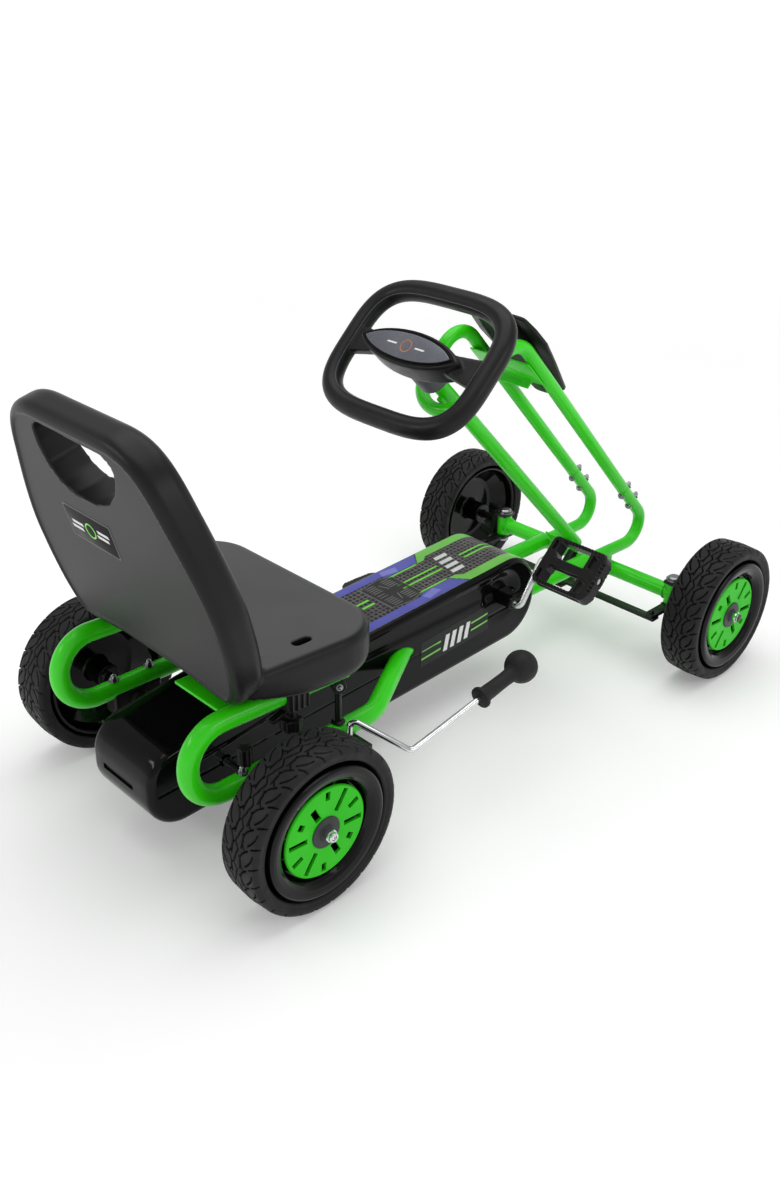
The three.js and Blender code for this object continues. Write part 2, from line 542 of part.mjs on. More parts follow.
// Pedal: a cage with four windows round a central barrel. At rest the upper one faces the driver's foot and
// the lower one hangs flat.
const PEDAL_TILTS = { left: 0, right: -Math.PI / 4 };
function pedalGeometry() {
  const body = upwards(roundedOutline([
    [-PEDAL_LENGTH / 2, -PEDAL_DEPTH / 2], [PEDAL_LENGTH / 2, -PEDAL_DEPTH / 2],
    [PEDAL_LENGTH / 2, PEDAL_DEPTH / 2], [-PEDAL_LENGTH / 2, PEDAL_DEPTH / 2],
  ], [10, 10, 10, 10], 3), -PEDAL_HEIGHT / 2, PEDAL_HEIGHT, 2, 1);
  const windows = [-1, 1].flatMap((x) => [-1, 1].map((y) =>
    box(30, 17, 2 * PEDAL_HEIGHT, point(x * 20, y * 18, 0))));
  const spindleBore = bore(point(-60, 0, 0), point(60, 0, 0), CRANK_RADIUS + BORE_GAP, 12);
  return cut(body, ...windows, spindleBore);
}
for (const [side, sign] of SIDES) {
  const pedal = add(`pedal_${side}`, pedalGeometry(), SATIN_BLACK);
  pedal.position.copy(pedalAt(sign));
  pedal.rotation.x = PEDAL_TILTS[side];
}

// ---------------------------------------------------------------- wheels
// Profiles list [outward from the wheel's middle plane, radius].
const tyreProfile = [
  [-26, RIM_RADIUS + FIT_GAP], [-30, RIM_RADIUS + 8], [-28, WHEEL_RADIUS - 4], [-20, WHEEL_RADIUS],
  [20, WHEEL_RADIUS], [28, WHEEL_RADIUS - 4], [30, RIM_RADIUS + 8], [26, RIM_RADIUS + FIT_GAP],
];
const HUB_BORE = AXLE_RADIUS + BORE_GAP;
const rimProfile = [
  [-27, HUB_BORE], [-27, 17], [8, 17], [8, 58], [-14, 76], [-26, 79], [-27, RIM_RADIUS], [25, RIM_RADIUS],
  [31, RIM_RADIUS - 1], [32, RIM_RADIUS - 6], [29, 68], [24, 62], [17, 60], [17, 20], [22, 18], [22, HUB_BORE],
];
const discProfile = [[17.5, 21], [25, 21], [25.7, 24], [25.7, DISC_RADIUS - 2], [24, DISC_RADIUS], [17.5, DISC_RADIUS]];
const closeProfile = (profile) => [...profile, profile[0]];

function addWheel(name, group) {
  add(`${name}_tyre`, turned(closeProfile(tyreProfile)), RUBBER, group);
  add(`${name}_rim`, turned(closeProfile(rimProfile)), GLOSS_BLACK, group);
  add(`${name}_hub_disc`, turned(closeProfile(discProfile), 24), GREEN_PLASTIC, group);
  const nut = cut(rod(point(22.4, 0, 0), point(34, 0, 0), 9, 6), bore(point(20, 0, 0), point(40, 0, 0), HUB_BORE, 12));
  add(`${name}_axle_nut`, nut, CHROME, group);
}
for (const [side, sign] of SIDES) {
  for (const [end, x, y] of [['rear', REAR_WHEEL_X, REAR_AXLE_Y], ['front', FRONT_WHEEL_X, FRONT_AXLE_Y]]) {
    const group = new THREE.Group();
    group.position.set(sign * x, y, WHEEL_RADIUS);
    if (sign < 0) group.rotation.z = Math.PI;
    kart.add(group);
    addWheel(`${end}_${side}`, group);
  }
}

// ---------------------------------------------------------------- steering
const KNUCKLE_PLATE = 5;
const ARM_TOP_Z = BEAM_Z - BOSS_HEIGHT / 2 - FIT_GAP;
const TRACK_PIN_RADIUS = 3.5;
for (const [side, sign] of SIDES) {
  const topZ = BEAM_Z + BOSS_HEIGHT / 2 + FIT_GAP;
  const wallX = sign * (KINGPIN_X + BOSS_RADIUS + 5);
  const plateX = sign * (KINGPIN_X + 3.5);
  const top = box(27, 26, KNUCKLE_PLATE, point(plateX, FRONT_AXLE_Y, topZ + KNUCKLE_PLATE / 2));
  const bottom = box(27, 26, KNUCKLE_PLATE, point(plateX, FRONT_AXLE_Y, ARM_TOP_Z - KNUCKLE_PLATE / 2));
  const wall = box(KNUCKLE_PLATE, 26, topZ - ARM_TOP_Z + 2 * KNUCKLE_PLATE,
    point(wallX, FRONT_AXLE_Y, (topZ + ARM_TOP_Z) / 2));
  const arm = box(16, STEERING_ARM, KNUCKLE_PLATE,
    point(sign * KINGPIN_X, FRONT_AXLE_Y + STEERING_ARM / 2, ARM_TOP_Z - KNUCKLE_PLATE / 2));
  const armEnd = rod(point(sign * KINGPIN_X, FRONT_AXLE_Y + STEERING_ARM, ARM_TOP_Z - KNUCKLE_PLATE),
    point(sign * KINGPIN_X, FRONT_AXLE_Y + STEERING_ARM, ARM_TOP_Z), 8, 12);
  const stub = rod(point(wallX, FRONT_AXLE_Y, WHEEL_RADIUS),
    point(sign * (FRONT_WHEEL_X + 40), FRONT_AXLE_Y, WHEEL_RADIUS), AXLE_RADIUS, 16);
  const pinHole = bore(point(sign * KINGPIN_X, FRONT_AXLE_Y, 60), point(sign * KINGPIN_X, FRONT_AXLE_Y, 150),
    KINGPIN_RADIUS + BORE_GAP, 12);
  const rodHole = bore(point(sign * KINGPIN_X, FRONT_AXLE_Y + STEERING_ARM, 60),
    point(sign * KINGPIN_X, FRONT_AXLE_Y + STEERING_ARM, 110), TRACK_PIN_RADIUS + 1, 12);
  add(`knuckle_${side}`, cut(join(top, bottom, wall, arm, armEnd, stub), pinHole, rodHole), BLACK_STEEL);

  const boltTop = topZ + KNUCKLE_PLATE + FIT_GAP;
  const boltBottom = ARM_TOP_Z - KNUCKLE_PLATE - FIT_GAP;
  const onPin = (z) => point(sign * KINGPIN_X, FRONT_AXLE_Y, z);
  add(`kingpin_${side}`, join(rod(onPin(boltBottom - 6), onPin(boltTop + 6), KINGPIN_RADIUS, 12),
    rod(onPin(boltTop), onPin(boltTop + 6), 10, 6), rod(onPin(boltBottom - 6), onPin(boltBottom), 9, 6)), CHROME);
}

// Track rod: a flat bar with two pins up into the arms and a slotted pad for the steering shaft's pin.
const ROD_PLATE = 4;
const rodTopZ = ARM_TOP_Z - KNUCKLE_PLATE - FIT_GAP;
const rodY = FRONT_AXLE_Y + STEERING_ARM;
const rodPins = [1, -1].map((sign) =>
  rod(point(sign * KINGPIN_X, rodY, rodTopZ - 1), point(sign * KINGPIN_X, rodY, ARM_TOP_Z + 5), TRACK_PIN_RADIUS, 12));
const PITMAN_REACH = 60;                // steering shaft to its pin
const PITMAN_Z = COLUMN_FOOT_Z - 6;
const pinFoot = toKartPoint(0, PITMAN_REACH, PITMAN_Z);
const pinDrop = (pinFoot.z - rodTopZ + ROD_PLATE / 2) / Math.sin(COLUMN_ANGLE);
const slotY = toKartPoint(0, PITMAN_REACH, PITMAN_Z - pinDrop).y;
add('track_rod', cut(
  join(box(2 * KINGPIN_X + 18, 16, ROD_PLATE, point(0, rodY, rodTopZ - ROD_PLATE / 2)),
    box(30, 40, ROD_PLATE, point(0, slotY, rodTopZ - ROD_PLATE / 2)), ...rodPins),
  box(2 * (TRACK_PIN_RADIUS + 0.9), 28, 3 * ROD_PLATE, point(0, slotY, rodTopZ))), BLACK_STEEL);

const SHAFT_TOP_Z = 8;
add('steering_shaft', join(
  rod(point(0, 0, PITMAN_Z - 3), point(0, 0, SHAFT_TOP_Z), STEERING_SHAFT_RADIUS, 16),
  box(16, PITMAN_REACH, 5, point(0, PITMAN_REACH / 2, PITMAN_Z)),
  rod(point(0, PITMAN_REACH, PITMAN_Z - 2.5), point(0, PITMAN_REACH, PITMAN_Z + 2.5), 6.5, 12),
  rod(point(0, PITMAN_REACH, PITMAN_Z - pinDrop - 8), point(0, PITMAN_REACH, PITMAN_Z), TRACK_PIN_RADIUS, 12)),
BLACK_STEEL, steeringFrame);
const BUSHING_RADIUS = 22;
const HUB_BOTTOM_Z = -13;
add('column_bushing', cut(
  rod(point(0, 0, COLUMN_TOP_Z + FIT_GAP), point(0, 0, HUB_BOTTOM_Z - FIT_GAP), BUSHING_RADIUS, 24),
  bore(point(0, 0, COLUMN_TOP_Z - 1), point(0, 0, 0), STEERING_SHAFT_RADIUS + BORE_GAP)), GREY_PLASTIC, steeringFrame);

// Steering wheel: a rounded-rectangle rim, two spokes and a raised lens-shaped hub with a grey plate on it.
const RIM_HALF_WIDTH = 118;
const RIM_HALF_HEIGHT = 91;
const RIM_SQUARENESS = 3.6;             // exponent of the rim's superellipse
const RIM_GRIP_RADIUS = 14;
const RIM_STEPS = 64;
const HUB_HALF_LENGTH = 86;
const HUB_HALF_HEIGHT = 26;
const HUB_TOP_Z = 23;

function rimPoint(angle) {
  const bend = (value) => Math.sign(value) * Math.abs(value) ** (2 / RIM_SQUARENESS);
  return point(RIM_HALF_WIDTH * bend(Math.cos(angle)), RIM_HALF_HEIGHT * bend(Math.sin(angle)), 0);
}

function rimGeometry() {
  const torus = new THREE.TorusGeometry(1, RIM_GRIP_RADIUS, 10, RIM_STEPS);
  const { position } = torus.attributes;
  for (let i = 0; i < position.count; i++) {
    const vertex = point(0, 0, 0).fromBufferAttribute(position, i);
    const turn = 2 * Math.PI * (i % (RIM_STEPS + 1)) / RIM_STEPS;
    const radial = point(Math.cos(turn), Math.sin(turn), 0);
    const outwards = vertex.clone().setZ(0).dot(radial) - 1;
    const squared = turn - 0.06 * Math.sin(4 * turn);
    const along = rimPoint(squared + 0.01).sub(rimPoint(squared - 0.01)).normalize();
    const normal = point(along.y, -along.x, 0);
    const moved = rimPoint(squared).addScaledVector(normal, outwards);
    position.setXYZ(i, moved.x, moved.y, vertex.z);
  }
  return closed(torus);
}

function lens(halfLength, halfHeight) {
  const shape = new THREE.Shape();
  const bow = 0.62 * halfLength;
  shape.moveTo(-halfLength, 0);
  shape.bezierCurveTo(-bow, -halfHeight * 1.3, bow, -halfHeight * 1.3, halfLength, 0);
  shape.bezierCurveTo(bow, halfHeight * 1.3, -bow, halfHeight * 1.3, -halfLength, 0);
  return shape;
}
const spokes = [1, -1].map((sign) => closed(new THREE.BoxGeometry(52, 34, 14)
  .rotateY(sign * 0.3).translate(sign * 92, 0, 3)));
const hubBody = upwards(lens(HUB_HALF_LENGTH, HUB_HALF_HEIGHT), HUB_BOTTOM_Z, HUB_TOP_Z - HUB_BOTTOM_Z, 4, 1);
const hubStem = rod(point(0, 0, HUB_BOTTOM_Z), point(0, 0, 0), BUSHING_RADIUS, 24);
add('steering_wheel', cut(join(rimGeometry(), hubBody, hubStem, ...spokes),
  bore(point(0, 0, HUB_BOTTOM_Z - 1), point(0, 0, SHAFT_TOP_Z + 1), STEERING_SHAFT_RADIUS + BORE_GAP)),
SATIN_BLACK, steeringFrame);
add('hub_plate', upwards(lens(HUB_HALF_LENGTH - 8, HUB_HALF_HEIGHT - 6), HUB_TOP_Z + FIT_GAP, 3, 1, 1),
  GREY_PLASTIC, steeringFrame);

// ---------------------------------------------------------------- seat
const SEAT_WALL = 3;
const PAN_REAR_Y = 440;
const BACK_LEAN = THREE.MathUtils.degToRad(15.8);
const BACK_FOOT = point(0, 445, 262);   // rear face of the back at its lower edge
const BACK_THICKNESS = 45;
const BACK_HEIGHT = 295;

function panGeometry(inset) {
  const plan = roundedOutline([
    [-SEAT_HALF_WIDTH, PAN_FRONT_Y], [SEAT_HALF_WIDTH, PAN_FRONT_Y],
    [SEAT_HALF_WIDTH - 14, PAN_REAR_Y], [-SEAT_HALF_WIDTH + 14, PAN_REAR_Y],
  ], [62, 62, 30, 30], 6);
  const profile = roundedOutline([
    [PAN_FRONT_Y, 219], [300, 219], [PAN_REAR_Y, 256], [PAN_REAR_Y, PAN_TOP_Z], [PAN_FRONT_Y, PAN_TOP_Z],
  ], [20, 60, 10, 10, 16], 3);
  return overlap(upwards(plan, 200, 80, 10, 2, inset),
    acrossX(profile, 2 * SEAT_HALF_WIDTH, 5, 1, inset));
}

function backGeometry(inset) {
  const outline = new THREE.Shape();
  outline.moveTo(-108, 0);
  outline.lineTo(108, 0);
  outline.bezierCurveTo(142, 0, 178, 34, 181, 88);
  outline.bezierCurveTo(184, 130, 164, 182, 149, 222);
  outline.bezierCurveTo(135, 262, 120, BACK_HEIGHT, 64, BACK_HEIGHT);
  outline.lineTo(-64, BACK_HEIGHT);
  outline.bezierCurveTo(-120, BACK_HEIGHT, -135, 262, -149, 222);
  outline.bezierCurveTo(-164, 182, -184, 130, -181, 88);
  outline.bezierCurveTo(-178, 34, -142, 0, -108, 0);
  const slab = upwards(outline, 0, BACK_THICKNESS, 12, 2, inset);
  slab.applyMatrix4(new THREE.Matrix4().makeBasis(point(-1, 0, 0), point(0, 0, 1), point(0, 1, 0)));
  return closed(slab.translate(0, -BACK_THICKNESS, 0).rotateX(-BACK_LEAN)
    .translate(BACK_FOOT.x, BACK_FOOT.y, BACK_FOOT.z));
}

const onBack = (x, height, depth) => point(x, depth, height).applyAxisAngle(point(1, 0, 0), -BACK_LEAN)
  .add(BACK_FOOT);
const POCKET_TOP_Z = 240;               // room under the pan for the upper runs
const pocket = (grow) => box(316 + 2 * grow, 270, 60, point(0, 230 - grow + 135, POCKET_TOP_Z + grow - 30));
const HANDLE_HEIGHT = 236;              // middle of the hand hole, up the back
const HANDLE_HALF_WIDTH = 75;
const HANDLE_HALF_HEIGHT = 41;

function handleHole(grow) {
  const shape = roundedOutline([
    [-HANDLE_HALF_WIDTH - grow, -HANDLE_HALF_HEIGHT - grow], [HANDLE_HALF_WIDTH + grow, -HANDLE_HALF_HEIGHT - grow],
    [HANDLE_HALF_WIDTH + grow, HANDLE_HALF_HEIGHT + grow], [-HANDLE_HALF_WIDTH - grow, HANDLE_HALF_HEIGHT + grow],
  ], [44, 44, 22, 22].map((radius) => radius + grow), 4);
  const hole = upwards(shape, -20, BACK_THICKNESS + 40);
  hole.applyMatrix4(new THREE.Matrix4().makeBasis(point(-1, 0, 0), point(0, 0, 1), point(0, 1, 0)));
  return closed(hole.translate(0, -BACK_THICKNESS, HANDLE_HEIGHT).rotateX(-BACK_LEAN)
    .translate(BACK_FOOT.x, BACK_FOOT.y, BACK_FOOT.z));
}
const PAN_SLOT = { x: 135, y: 330, halfWidth: 6, halfLength: 13 };
const panSlots = (grow) => [1, -1].map((sign) => box(2 * (PAN_SLOT.halfWidth + grow),
  2 * (PAN_SLOT.halfLength + grow), 120, point(sign * PAN_SLOT.x, PAN_SLOT.y, 260)));
const seatVents = [1, -1].map((sign) =>
  rod(point(sign * 60, 300, POCKET_TOP_Z - 1), point(sign * 60, 300, POCKET_TOP_Z + 8), 5, 8));

const seatOuter = cut(join(panGeometry(0), backGeometry(0)), pocket(0), handleHole(0), ...panSlots(0));
const seatCavity = cut(join(panGeometry(SEAT_WALL), backGeometry(SEAT_WALL)), pocket(SEAT_WALL),
  handleHole(SEAT_WALL), ...panSlots(SEAT_WALL));
add('seat', cut(seatOuter, seatCavity, ...seatVents), SATIN_BLACK);

// Clamps that slide on the upper runs, and the struts that hold up the front ends of the upper runs.
const CLAMP_Y = 345;
const STRUT_Y = 272;
for (const [side, sign] of SIDES) {
  const runZ = upperRunZ(CLAMP_Y);
  const block = box(36, 34, 36, point(sign * LOWER_RUN_X, CLAMP_Y, runZ - 2));
  const runWay = bore(point(sign * LOWER_RUN_X, CLAMP_Y - 60, upperRunZ(CLAMP_Y - 60)),
    point(sign * LOWER_RUN_X, CLAMP_Y + 60, upperRunZ(CLAMP_Y + 60)), TUBE_RADIUS + BORE_GAP, TUBE_SIDES);
  const stem = rod(point(sign * LOWER_RUN_X, CLAMP_Y, runZ - 40), point(sign * LOWER_RUN_X, CLAMP_Y, runZ - 19), 4, 8);
  const knob = rod(point(sign * LOWER_RUN_X, CLAMP_Y, runZ - 52), point(sign * LOWER_RUN_X, CLAMP_Y, runZ - 36), 14, 10);
  add(`seat_clamp_${side}`, cut(join(block, stem, knob), runWay), SATIN_BLACK);

  const strutBottom = lowerRunZ(STRUT_Y) + TUBE_RADIUS + FIT_GAP;
  const strutTop = upperRunZ(STRUT_Y) - TUBE_RADIUS - 1;
  add(`seat_strut_${side}`, box(6, 18, strutTop - strutBottom,
    point(sign * LOWER_RUN_X, STRUT_Y, (strutTop + strutBottom) / 2)), BLACK_STEEL);
}

// ---------------------------------------------------------------- hand brake
// The lever turns about its lowest run, in front of the tyre; the shoe stands on that run.
const BRAKE_PIVOT = point(-152, 272, 98);
const BRAKE_ROD_RADIUS = 4;
const SHOE_X = -208;
const SHOE_WIDTH = 36;
const brakeCorners = [
  BRAKE_PIVOT.clone().setX(SHOE_X - SHOE_WIDTH / 2 - 4),
  BRAKE_PIVOT,
  point(-151, 270, 156),
  point(-214, 227, 121),
  point(-214, 105, 144),
];
const gripStart = brakeCorners[4];
const gripDirection = brakeCorners[4].clone().sub(brakeCorners[3]).normalize();
const rodTip = gripStart.clone().addScaledVector(gripDirection, 50);
add('brake_lever', tube(new BentRoute([...brakeCorners.slice(0, 4), rodTip], [8, 8, 9]), BRAKE_ROD_RADIUS, 0, 8),
  CHROME);

const gripProfile = [[-2, 4.4], [-2, 14.7], [4, 14.7], [5, 10.5], [44, 9.5], [60, 11]];
const BALL_RADIUS = 22;
const BALL_CENTRE = 78;
for (let degrees = 145; degrees >= 0; degrees -= 29) {
  const angle = THREE.MathUtils.degToRad(degrees);
  gripProfile.push([BALL_CENTRE + BALL_RADIUS * Math.cos(angle), BALL_RADIUS * Math.sin(angle)]);
}
gripProfile.push([54, 0], [54, 4.4]);
const grip = add('brake_grip', turned(closeProfile(gripProfile), 20), SATIN_BLACK);
grip.position.copy(gripStart);
grip.quaternion.setFromUnitVectors(point(1, 0, 0), gripDirection);

const pivotBore = bore(BRAKE_PIVOT.clone().setX(-240), BRAKE_PIVOT.clone().setX(-120),
  BRAKE_ROD_RADIUS + BORE_GAP, 12);
add('brake_shoe', cut(box(SHOE_WIDTH, 13, 36, point(SHOE_X, BRAKE_PIVOT.y + 0.5, BRAKE_PIVOT.z + 10)), pivotBore),
  RUBBER);

// The clip hangs under the lower run and carries the lever's lowest run in its lug.
const CLIP_PLATE = 5;
const clipTop = lowerRunZ(BRAKE_PIVOT.y) - TUBE_RADIUS - FIT_GAP;
const lugBottom = BRAKE_PIVOT.z - 10;
add('brake_pivot_clip', cut(
  join(box(45, 18, CLIP_PLATE, point(-146, BRAKE_PIVOT.y - 15, clipTop - CLIP_PLATE / 2)),
    box(10, 33, clipTop - lugBottom, point(-163.5, BRAKE_PIVOT.y - 7.5, (clipTop + lugBottom) / 2))),
  pivotBore), BLACK_STEEL);

// ---------------------------------------------------------------- origin under the middle of the footprint
const bounds = new THREE.Box3().setFromObject(kart, true);
kart.position.set(0, -(bounds.min.y + bounds.max.y) / 2, -bounds.min.z);

export default kart;
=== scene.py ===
"""Looks of the pedal go kart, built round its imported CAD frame.

Points and sizes are in millimetres in a drawing frame: +Z up, the driver looks along -Y, and y = 0 is the
middle of the wheelbase. metres() turns points into the part's own frame.
"""

import json
import math

import bmesh
import bpy
import numpy as np
from mathutils import Matrix, Vector
from mathutils.bvhtree import BVHTree


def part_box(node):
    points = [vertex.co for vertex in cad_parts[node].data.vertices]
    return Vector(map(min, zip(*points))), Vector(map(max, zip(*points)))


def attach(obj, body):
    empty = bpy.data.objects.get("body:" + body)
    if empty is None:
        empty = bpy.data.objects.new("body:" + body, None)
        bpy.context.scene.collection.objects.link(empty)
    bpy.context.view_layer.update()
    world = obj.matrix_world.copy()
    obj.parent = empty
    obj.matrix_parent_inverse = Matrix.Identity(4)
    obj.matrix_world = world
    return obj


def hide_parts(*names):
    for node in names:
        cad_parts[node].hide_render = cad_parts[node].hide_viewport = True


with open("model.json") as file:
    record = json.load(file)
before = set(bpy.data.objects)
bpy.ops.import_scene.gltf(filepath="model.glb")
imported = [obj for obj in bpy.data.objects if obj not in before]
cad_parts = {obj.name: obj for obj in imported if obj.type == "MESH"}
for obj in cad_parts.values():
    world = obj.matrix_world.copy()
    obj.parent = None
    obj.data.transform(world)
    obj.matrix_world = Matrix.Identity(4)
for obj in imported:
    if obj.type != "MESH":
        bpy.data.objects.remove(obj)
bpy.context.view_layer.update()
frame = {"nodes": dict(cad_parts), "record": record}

SIDES = (("left", 1), ("right", -1))
REAR_AXLE_Y = 390
FRONT_AXLE_Y = -390
SHIFT_Y = 500 * sum(corner.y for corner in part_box("rear_axle")) - REAR_AXLE_Y
NODE_BODY = {node: body for body, nodes in frame["record"]["behaviour"]["bodies"].items() for node in nodes}
# Outlines drawn in (x, z) and raised along y, and outlines drawn in (y, z) and raised along x.
UPRIGHT = Matrix(((1, 0, 0, 0), (0, 0, 1, 0), (0, 1, 0, 0), (0, 0, 0, 1)))
SIDEWAYS = Matrix(((0, 0, 1, 0), (1, 0, 0, 0), (0, 1, 0, 0), (0, 0, 0, 1)))


def metres(points):
    return (np.asarray(points, float).reshape(-1, 3) + (0, SHIFT_Y, 0)) / 1000


def millimetres(points):
    return np.asarray(points, float) * 1000 - (0, SHIFT_Y, 0)


def in_part(matrix):
    """A placing in the drawing as a matrix for a mesh that is in metres round its own origin."""
    return Matrix.Translation(metres(matrix.translation)[0]) @ matrix.to_3x3().to_4x4()


# ---------------------------------------------------------------- finishes
class Finish:
    """A material whose colour, roughness and bump come from nodes in the piece's own coordinates."""

    def __init__(self, name, roughness, metallic=0.0, coat=0.0, coat_roughness=0.05, specular=0.5):
        self.material = bpy.data.materials.new(name)
        self.material.use_nodes = True
        self.tree = self.material.node_tree
        self.shader = self.tree.nodes["Principled BSDF"]
        self.coords = self.tree.nodes.new("ShaderNodeTexCoord").outputs["Object"]
        self.set("Metallic", metallic)
        self.set("Coat Weight", coat)
        self.set("Coat Roughness", coat_roughness)
        self.set("Specular IOR Level", specular)
        self.height = None
        low, high = roughness
        self.link(self.ranged(self.noise(70, 4), 0.35, 0.65, low, high), "Roughness")

    def set(self, socket, value):
        self.shader.inputs[socket].default_value = value

    def link(self, output, socket):
        self.tree.links.new(output, self.shader.inputs[socket])

    def node(self, kind, inputs=(), **options):
        node = self.tree.nodes.new(kind)
        for key, value in options.items():
            setattr(node, key, value)
        for key, value in dict(inputs).items():
            if isinstance(value, bpy.types.NodeSocket):
                self.tree.links.new(value, node.inputs[key])
            else:
                node.inputs[key].default_value = value
        return node

    def noise(self, scale, detail=2.0, distortion=0.0):
        return self.node("ShaderNodeTexNoise", {
            "Vector": self.coords, "Scale": scale, "Detail": detail, "Distortion": distortion}).outputs["Fac"]

    def cells(self, scale, randomness=1.0, **options):
        return self.node("ShaderNodeTexVoronoi", {"Vector": self.coords, "Scale": scale,
                                                  "Randomness": randomness}, **options).outputs["Distance"]

    def ranged(self, value, low, high, to_low=0.0, to_high=1.0):
        return self.node("ShaderNodeMapRange", {
            "Value": value, "From Min": low, "From Max": high, "To Min": to_low, "To Max": to_high,
        }).outputs["Result"]

    def mixed(self, factor, first, second):
        node = self.node("ShaderNodeMix", data_type="RGBA")
        for socket, value in ((0, factor), (6, first), (7, second)):
            if isinstance(value, bpy.types.NodeSocket):
                self.tree.links.new(value, node.inputs[socket])
            else:
                node.inputs[socket].default_value = value if socket == 0 else (*value, 1)
        return node.outputs[2]

    def colour(self, first, second, scale=9.0, detail=3.0):
        self.link(self.mixed(self.ranged(self.noise(scale, detail), 0.3, 0.7), first, second), "Base Color")
        return self

    def bump(self, value, strength, distance):
        inputs = {"Height": value, "Strength": strength, "Distance": distance}
        if self.height is not None:
            inputs["Normal"] = self.height
        self.height = self.node("ShaderNodeBump", inputs).outputs["Normal"]
        self.link(self.height, "Normal")
        return self


def linear(code):
    """Scene-linear colour of a hexadecimal sRGB code."""
    values = [int(code[i:i + 2], 16) / 255 for i in (0, 2, 4)]
    return tuple(v / 12.92 if v <= 0.04045 else ((v + 0.055) / 1.055) ** 2.4 for v in values)


def moulded(name, first, second, roughness, grain=0.12, specular=0.3, **options):
    finish = Finish(name, roughness, specular=specular, **options).colour(linear(first), linear(second))
    return finish.bump(finish.noise(2600, 3), grain, 0.0003)


def metal(name, first, second, roughness, brush=0.05, **options):
    finish = Finish(name, roughness, metallic=1.0, **options).colour(linear(first), linear(second), 60)
    return finish.bump(finish.noise(1400, 4), brush, 0.0002)


def paint(name, first, second, roughness, **options):
    finish = Finish(name, roughness, specular=0.3, **options).colour(linear(first), linear(second), 14)
    finish.bump(finish.noise(420, 2), 0.03, 0.0003)
    return finish.bump(finish.noise(2200, 2), 0.03, 0.0001)


GREEN_PAINT = paint("green_paint", "2ccc06", "36d60e", (0.3, 0.4), coat=0.25, coat_roughness=0.1)
GREEN_PLASTIC = moulded("green_plastic", "22bc08", "2ec612", (0.36, 0.46), grain=0.05, specular=0.2)
SATIN_BLACK = moulded("satin_black", "161415", "1c1a1b", (0.3, 0.4), grain=0.15, specular=0.2)
GLOSS_BLACK = moulded("gloss_black", "070708", "0c0c0d", (0.08, 0.13), grain=0.02, specular=0.16)
RIM_BLACK = moulded("rim_black", "040404", "070708", (0.1, 0.14), grain=0.02, specular=0.12, coat=0.2)
BLACK_STEEL = paint("black_steel", "0c0c0d", "141415", (0.26, 0.4), coat=0.1)
BLACK_RUBBER = moulded("black_rubber", "141314", "1c1a1b", (0.5, 0.66), grain=0.3)
GREY_PLASTIC = moulded("grey_plastic", "48484d", "545459", (0.4, 0.5), grain=0.1)
PLATE_GREY = moulded("plate_grey", "53555c", "666870", (0.22, 0.32), grain=0.06, coat=0.2)
CHROME = metal("chrome", "d2d3d6", "e2e3e5", (0.08, 0.16))
ZINC = metal("zinc", "8e8f92", "a4a5a8", (0.2, 0.34), brush=0.12)
CHAIN_STEEL = metal("chain_steel", "5c574f", "7a756b", (0.35, 0.55), brush=0.2)
# painted shade: near-black that stands for the shade inside holes
PAINTED_HOLE_SHADE = moulded("painted_hole_shade", "050505", "080808", (0.6, 0.8))
HUB_GREY = moulded("hub_grey", "2a2a2d", "343437", (0.35, 0.45))
SILVER_CRANK = metal("silver_crank", "c8ccca", "dadedc", (0.22, 0.34), brush=0.08)


def seat_finish():
    """Blow-moulded plastic: satin on its edges, rougher and painted paler where the mesh's "panel" attribute
    is 1; the paler colour is painted light, for the light that falls on the pan's top and on the lower rear
    panel.
    """
    finish = Finish("seat_plastic", (0.32, 0.36), specular=0.2)
    panel = finish.node("ShaderNodeAttribute", attribute_name="panel").outputs["Fac"]
    shades = finish.ranged(finish.noise(9, 3), 0.3, 0.7)
    satin = finish.mixed(shades, linear("141314"), linear("191819"))
    # painted light: the paler colour of the rough parts stands for the light on the pan's top and the rear
    # panel
    matt_and_painted_light = finish.mixed(shades, linear("484948"), linear("4e4f4e"))
    finish.link(finish.mixed(panel, satin, matt_and_painted_light), "Base Color")
    finish.link(finish.ranged(panel, 0.0, 0.3, 0.34, 0.46), "Roughness")
    return finish.bump(finish.noise(2200, 3), 0.22, 0.0003)


def tyre_finish():
    """Rubber with painted shade: darker where the mesh's "groove" attribute says that a groove was moulded,
    for the shade inside the grooves.
    """
    finish = Finish("tyre_rubber", (0.44, 0.58), specular=0.16)
    rubber = finish.mixed(finish.ranged(finish.noise(25, 3), 0.3, 0.7), linear("1c1b1c"), linear("262526"))
    groove = finish.node("ShaderNodeAttribute", attribute_name="groove").outputs["Fac"]
    # painted shade: the grooves are painted near-black for the shade inside them
    finish.link(finish.mixed(groove, rubber, linear("040404")), "Base Color")
    finish.bump(finish.cells(1500), 0.15, 0.0003)
    return finish.bump(finish.noise(300, 4), 0.2, 0.0004)


def speckled_finish():
    """Printed film: dark cells between lighter lines."""
    finish = Finish("decal_speckle", (0.3, 0.34), specular=0.25)
    cells = finish.cells(135, 0.3, feature="DISTANCE_TO_EDGE", voronoi_dimensions="2D")
    inside = finish.ranged(cells, 0.08, 0.18)
    line = finish.mixed(finish.ranged(finish.noise(40, 3), 0.35, 0.65), linear("565054"), linear("757072"))
    finish.link(finish.mixed(inside, line, linear("191617")), "Base Color")
    return finish


def film(name, first, second, specular=0.25):
    finish = Finish(name, (0.3, 0.34), specular=specular).colour(linear(first), linear(second), 30)
    return finish.bump(finish.noise(900, 2), 0.04, 0.0001)


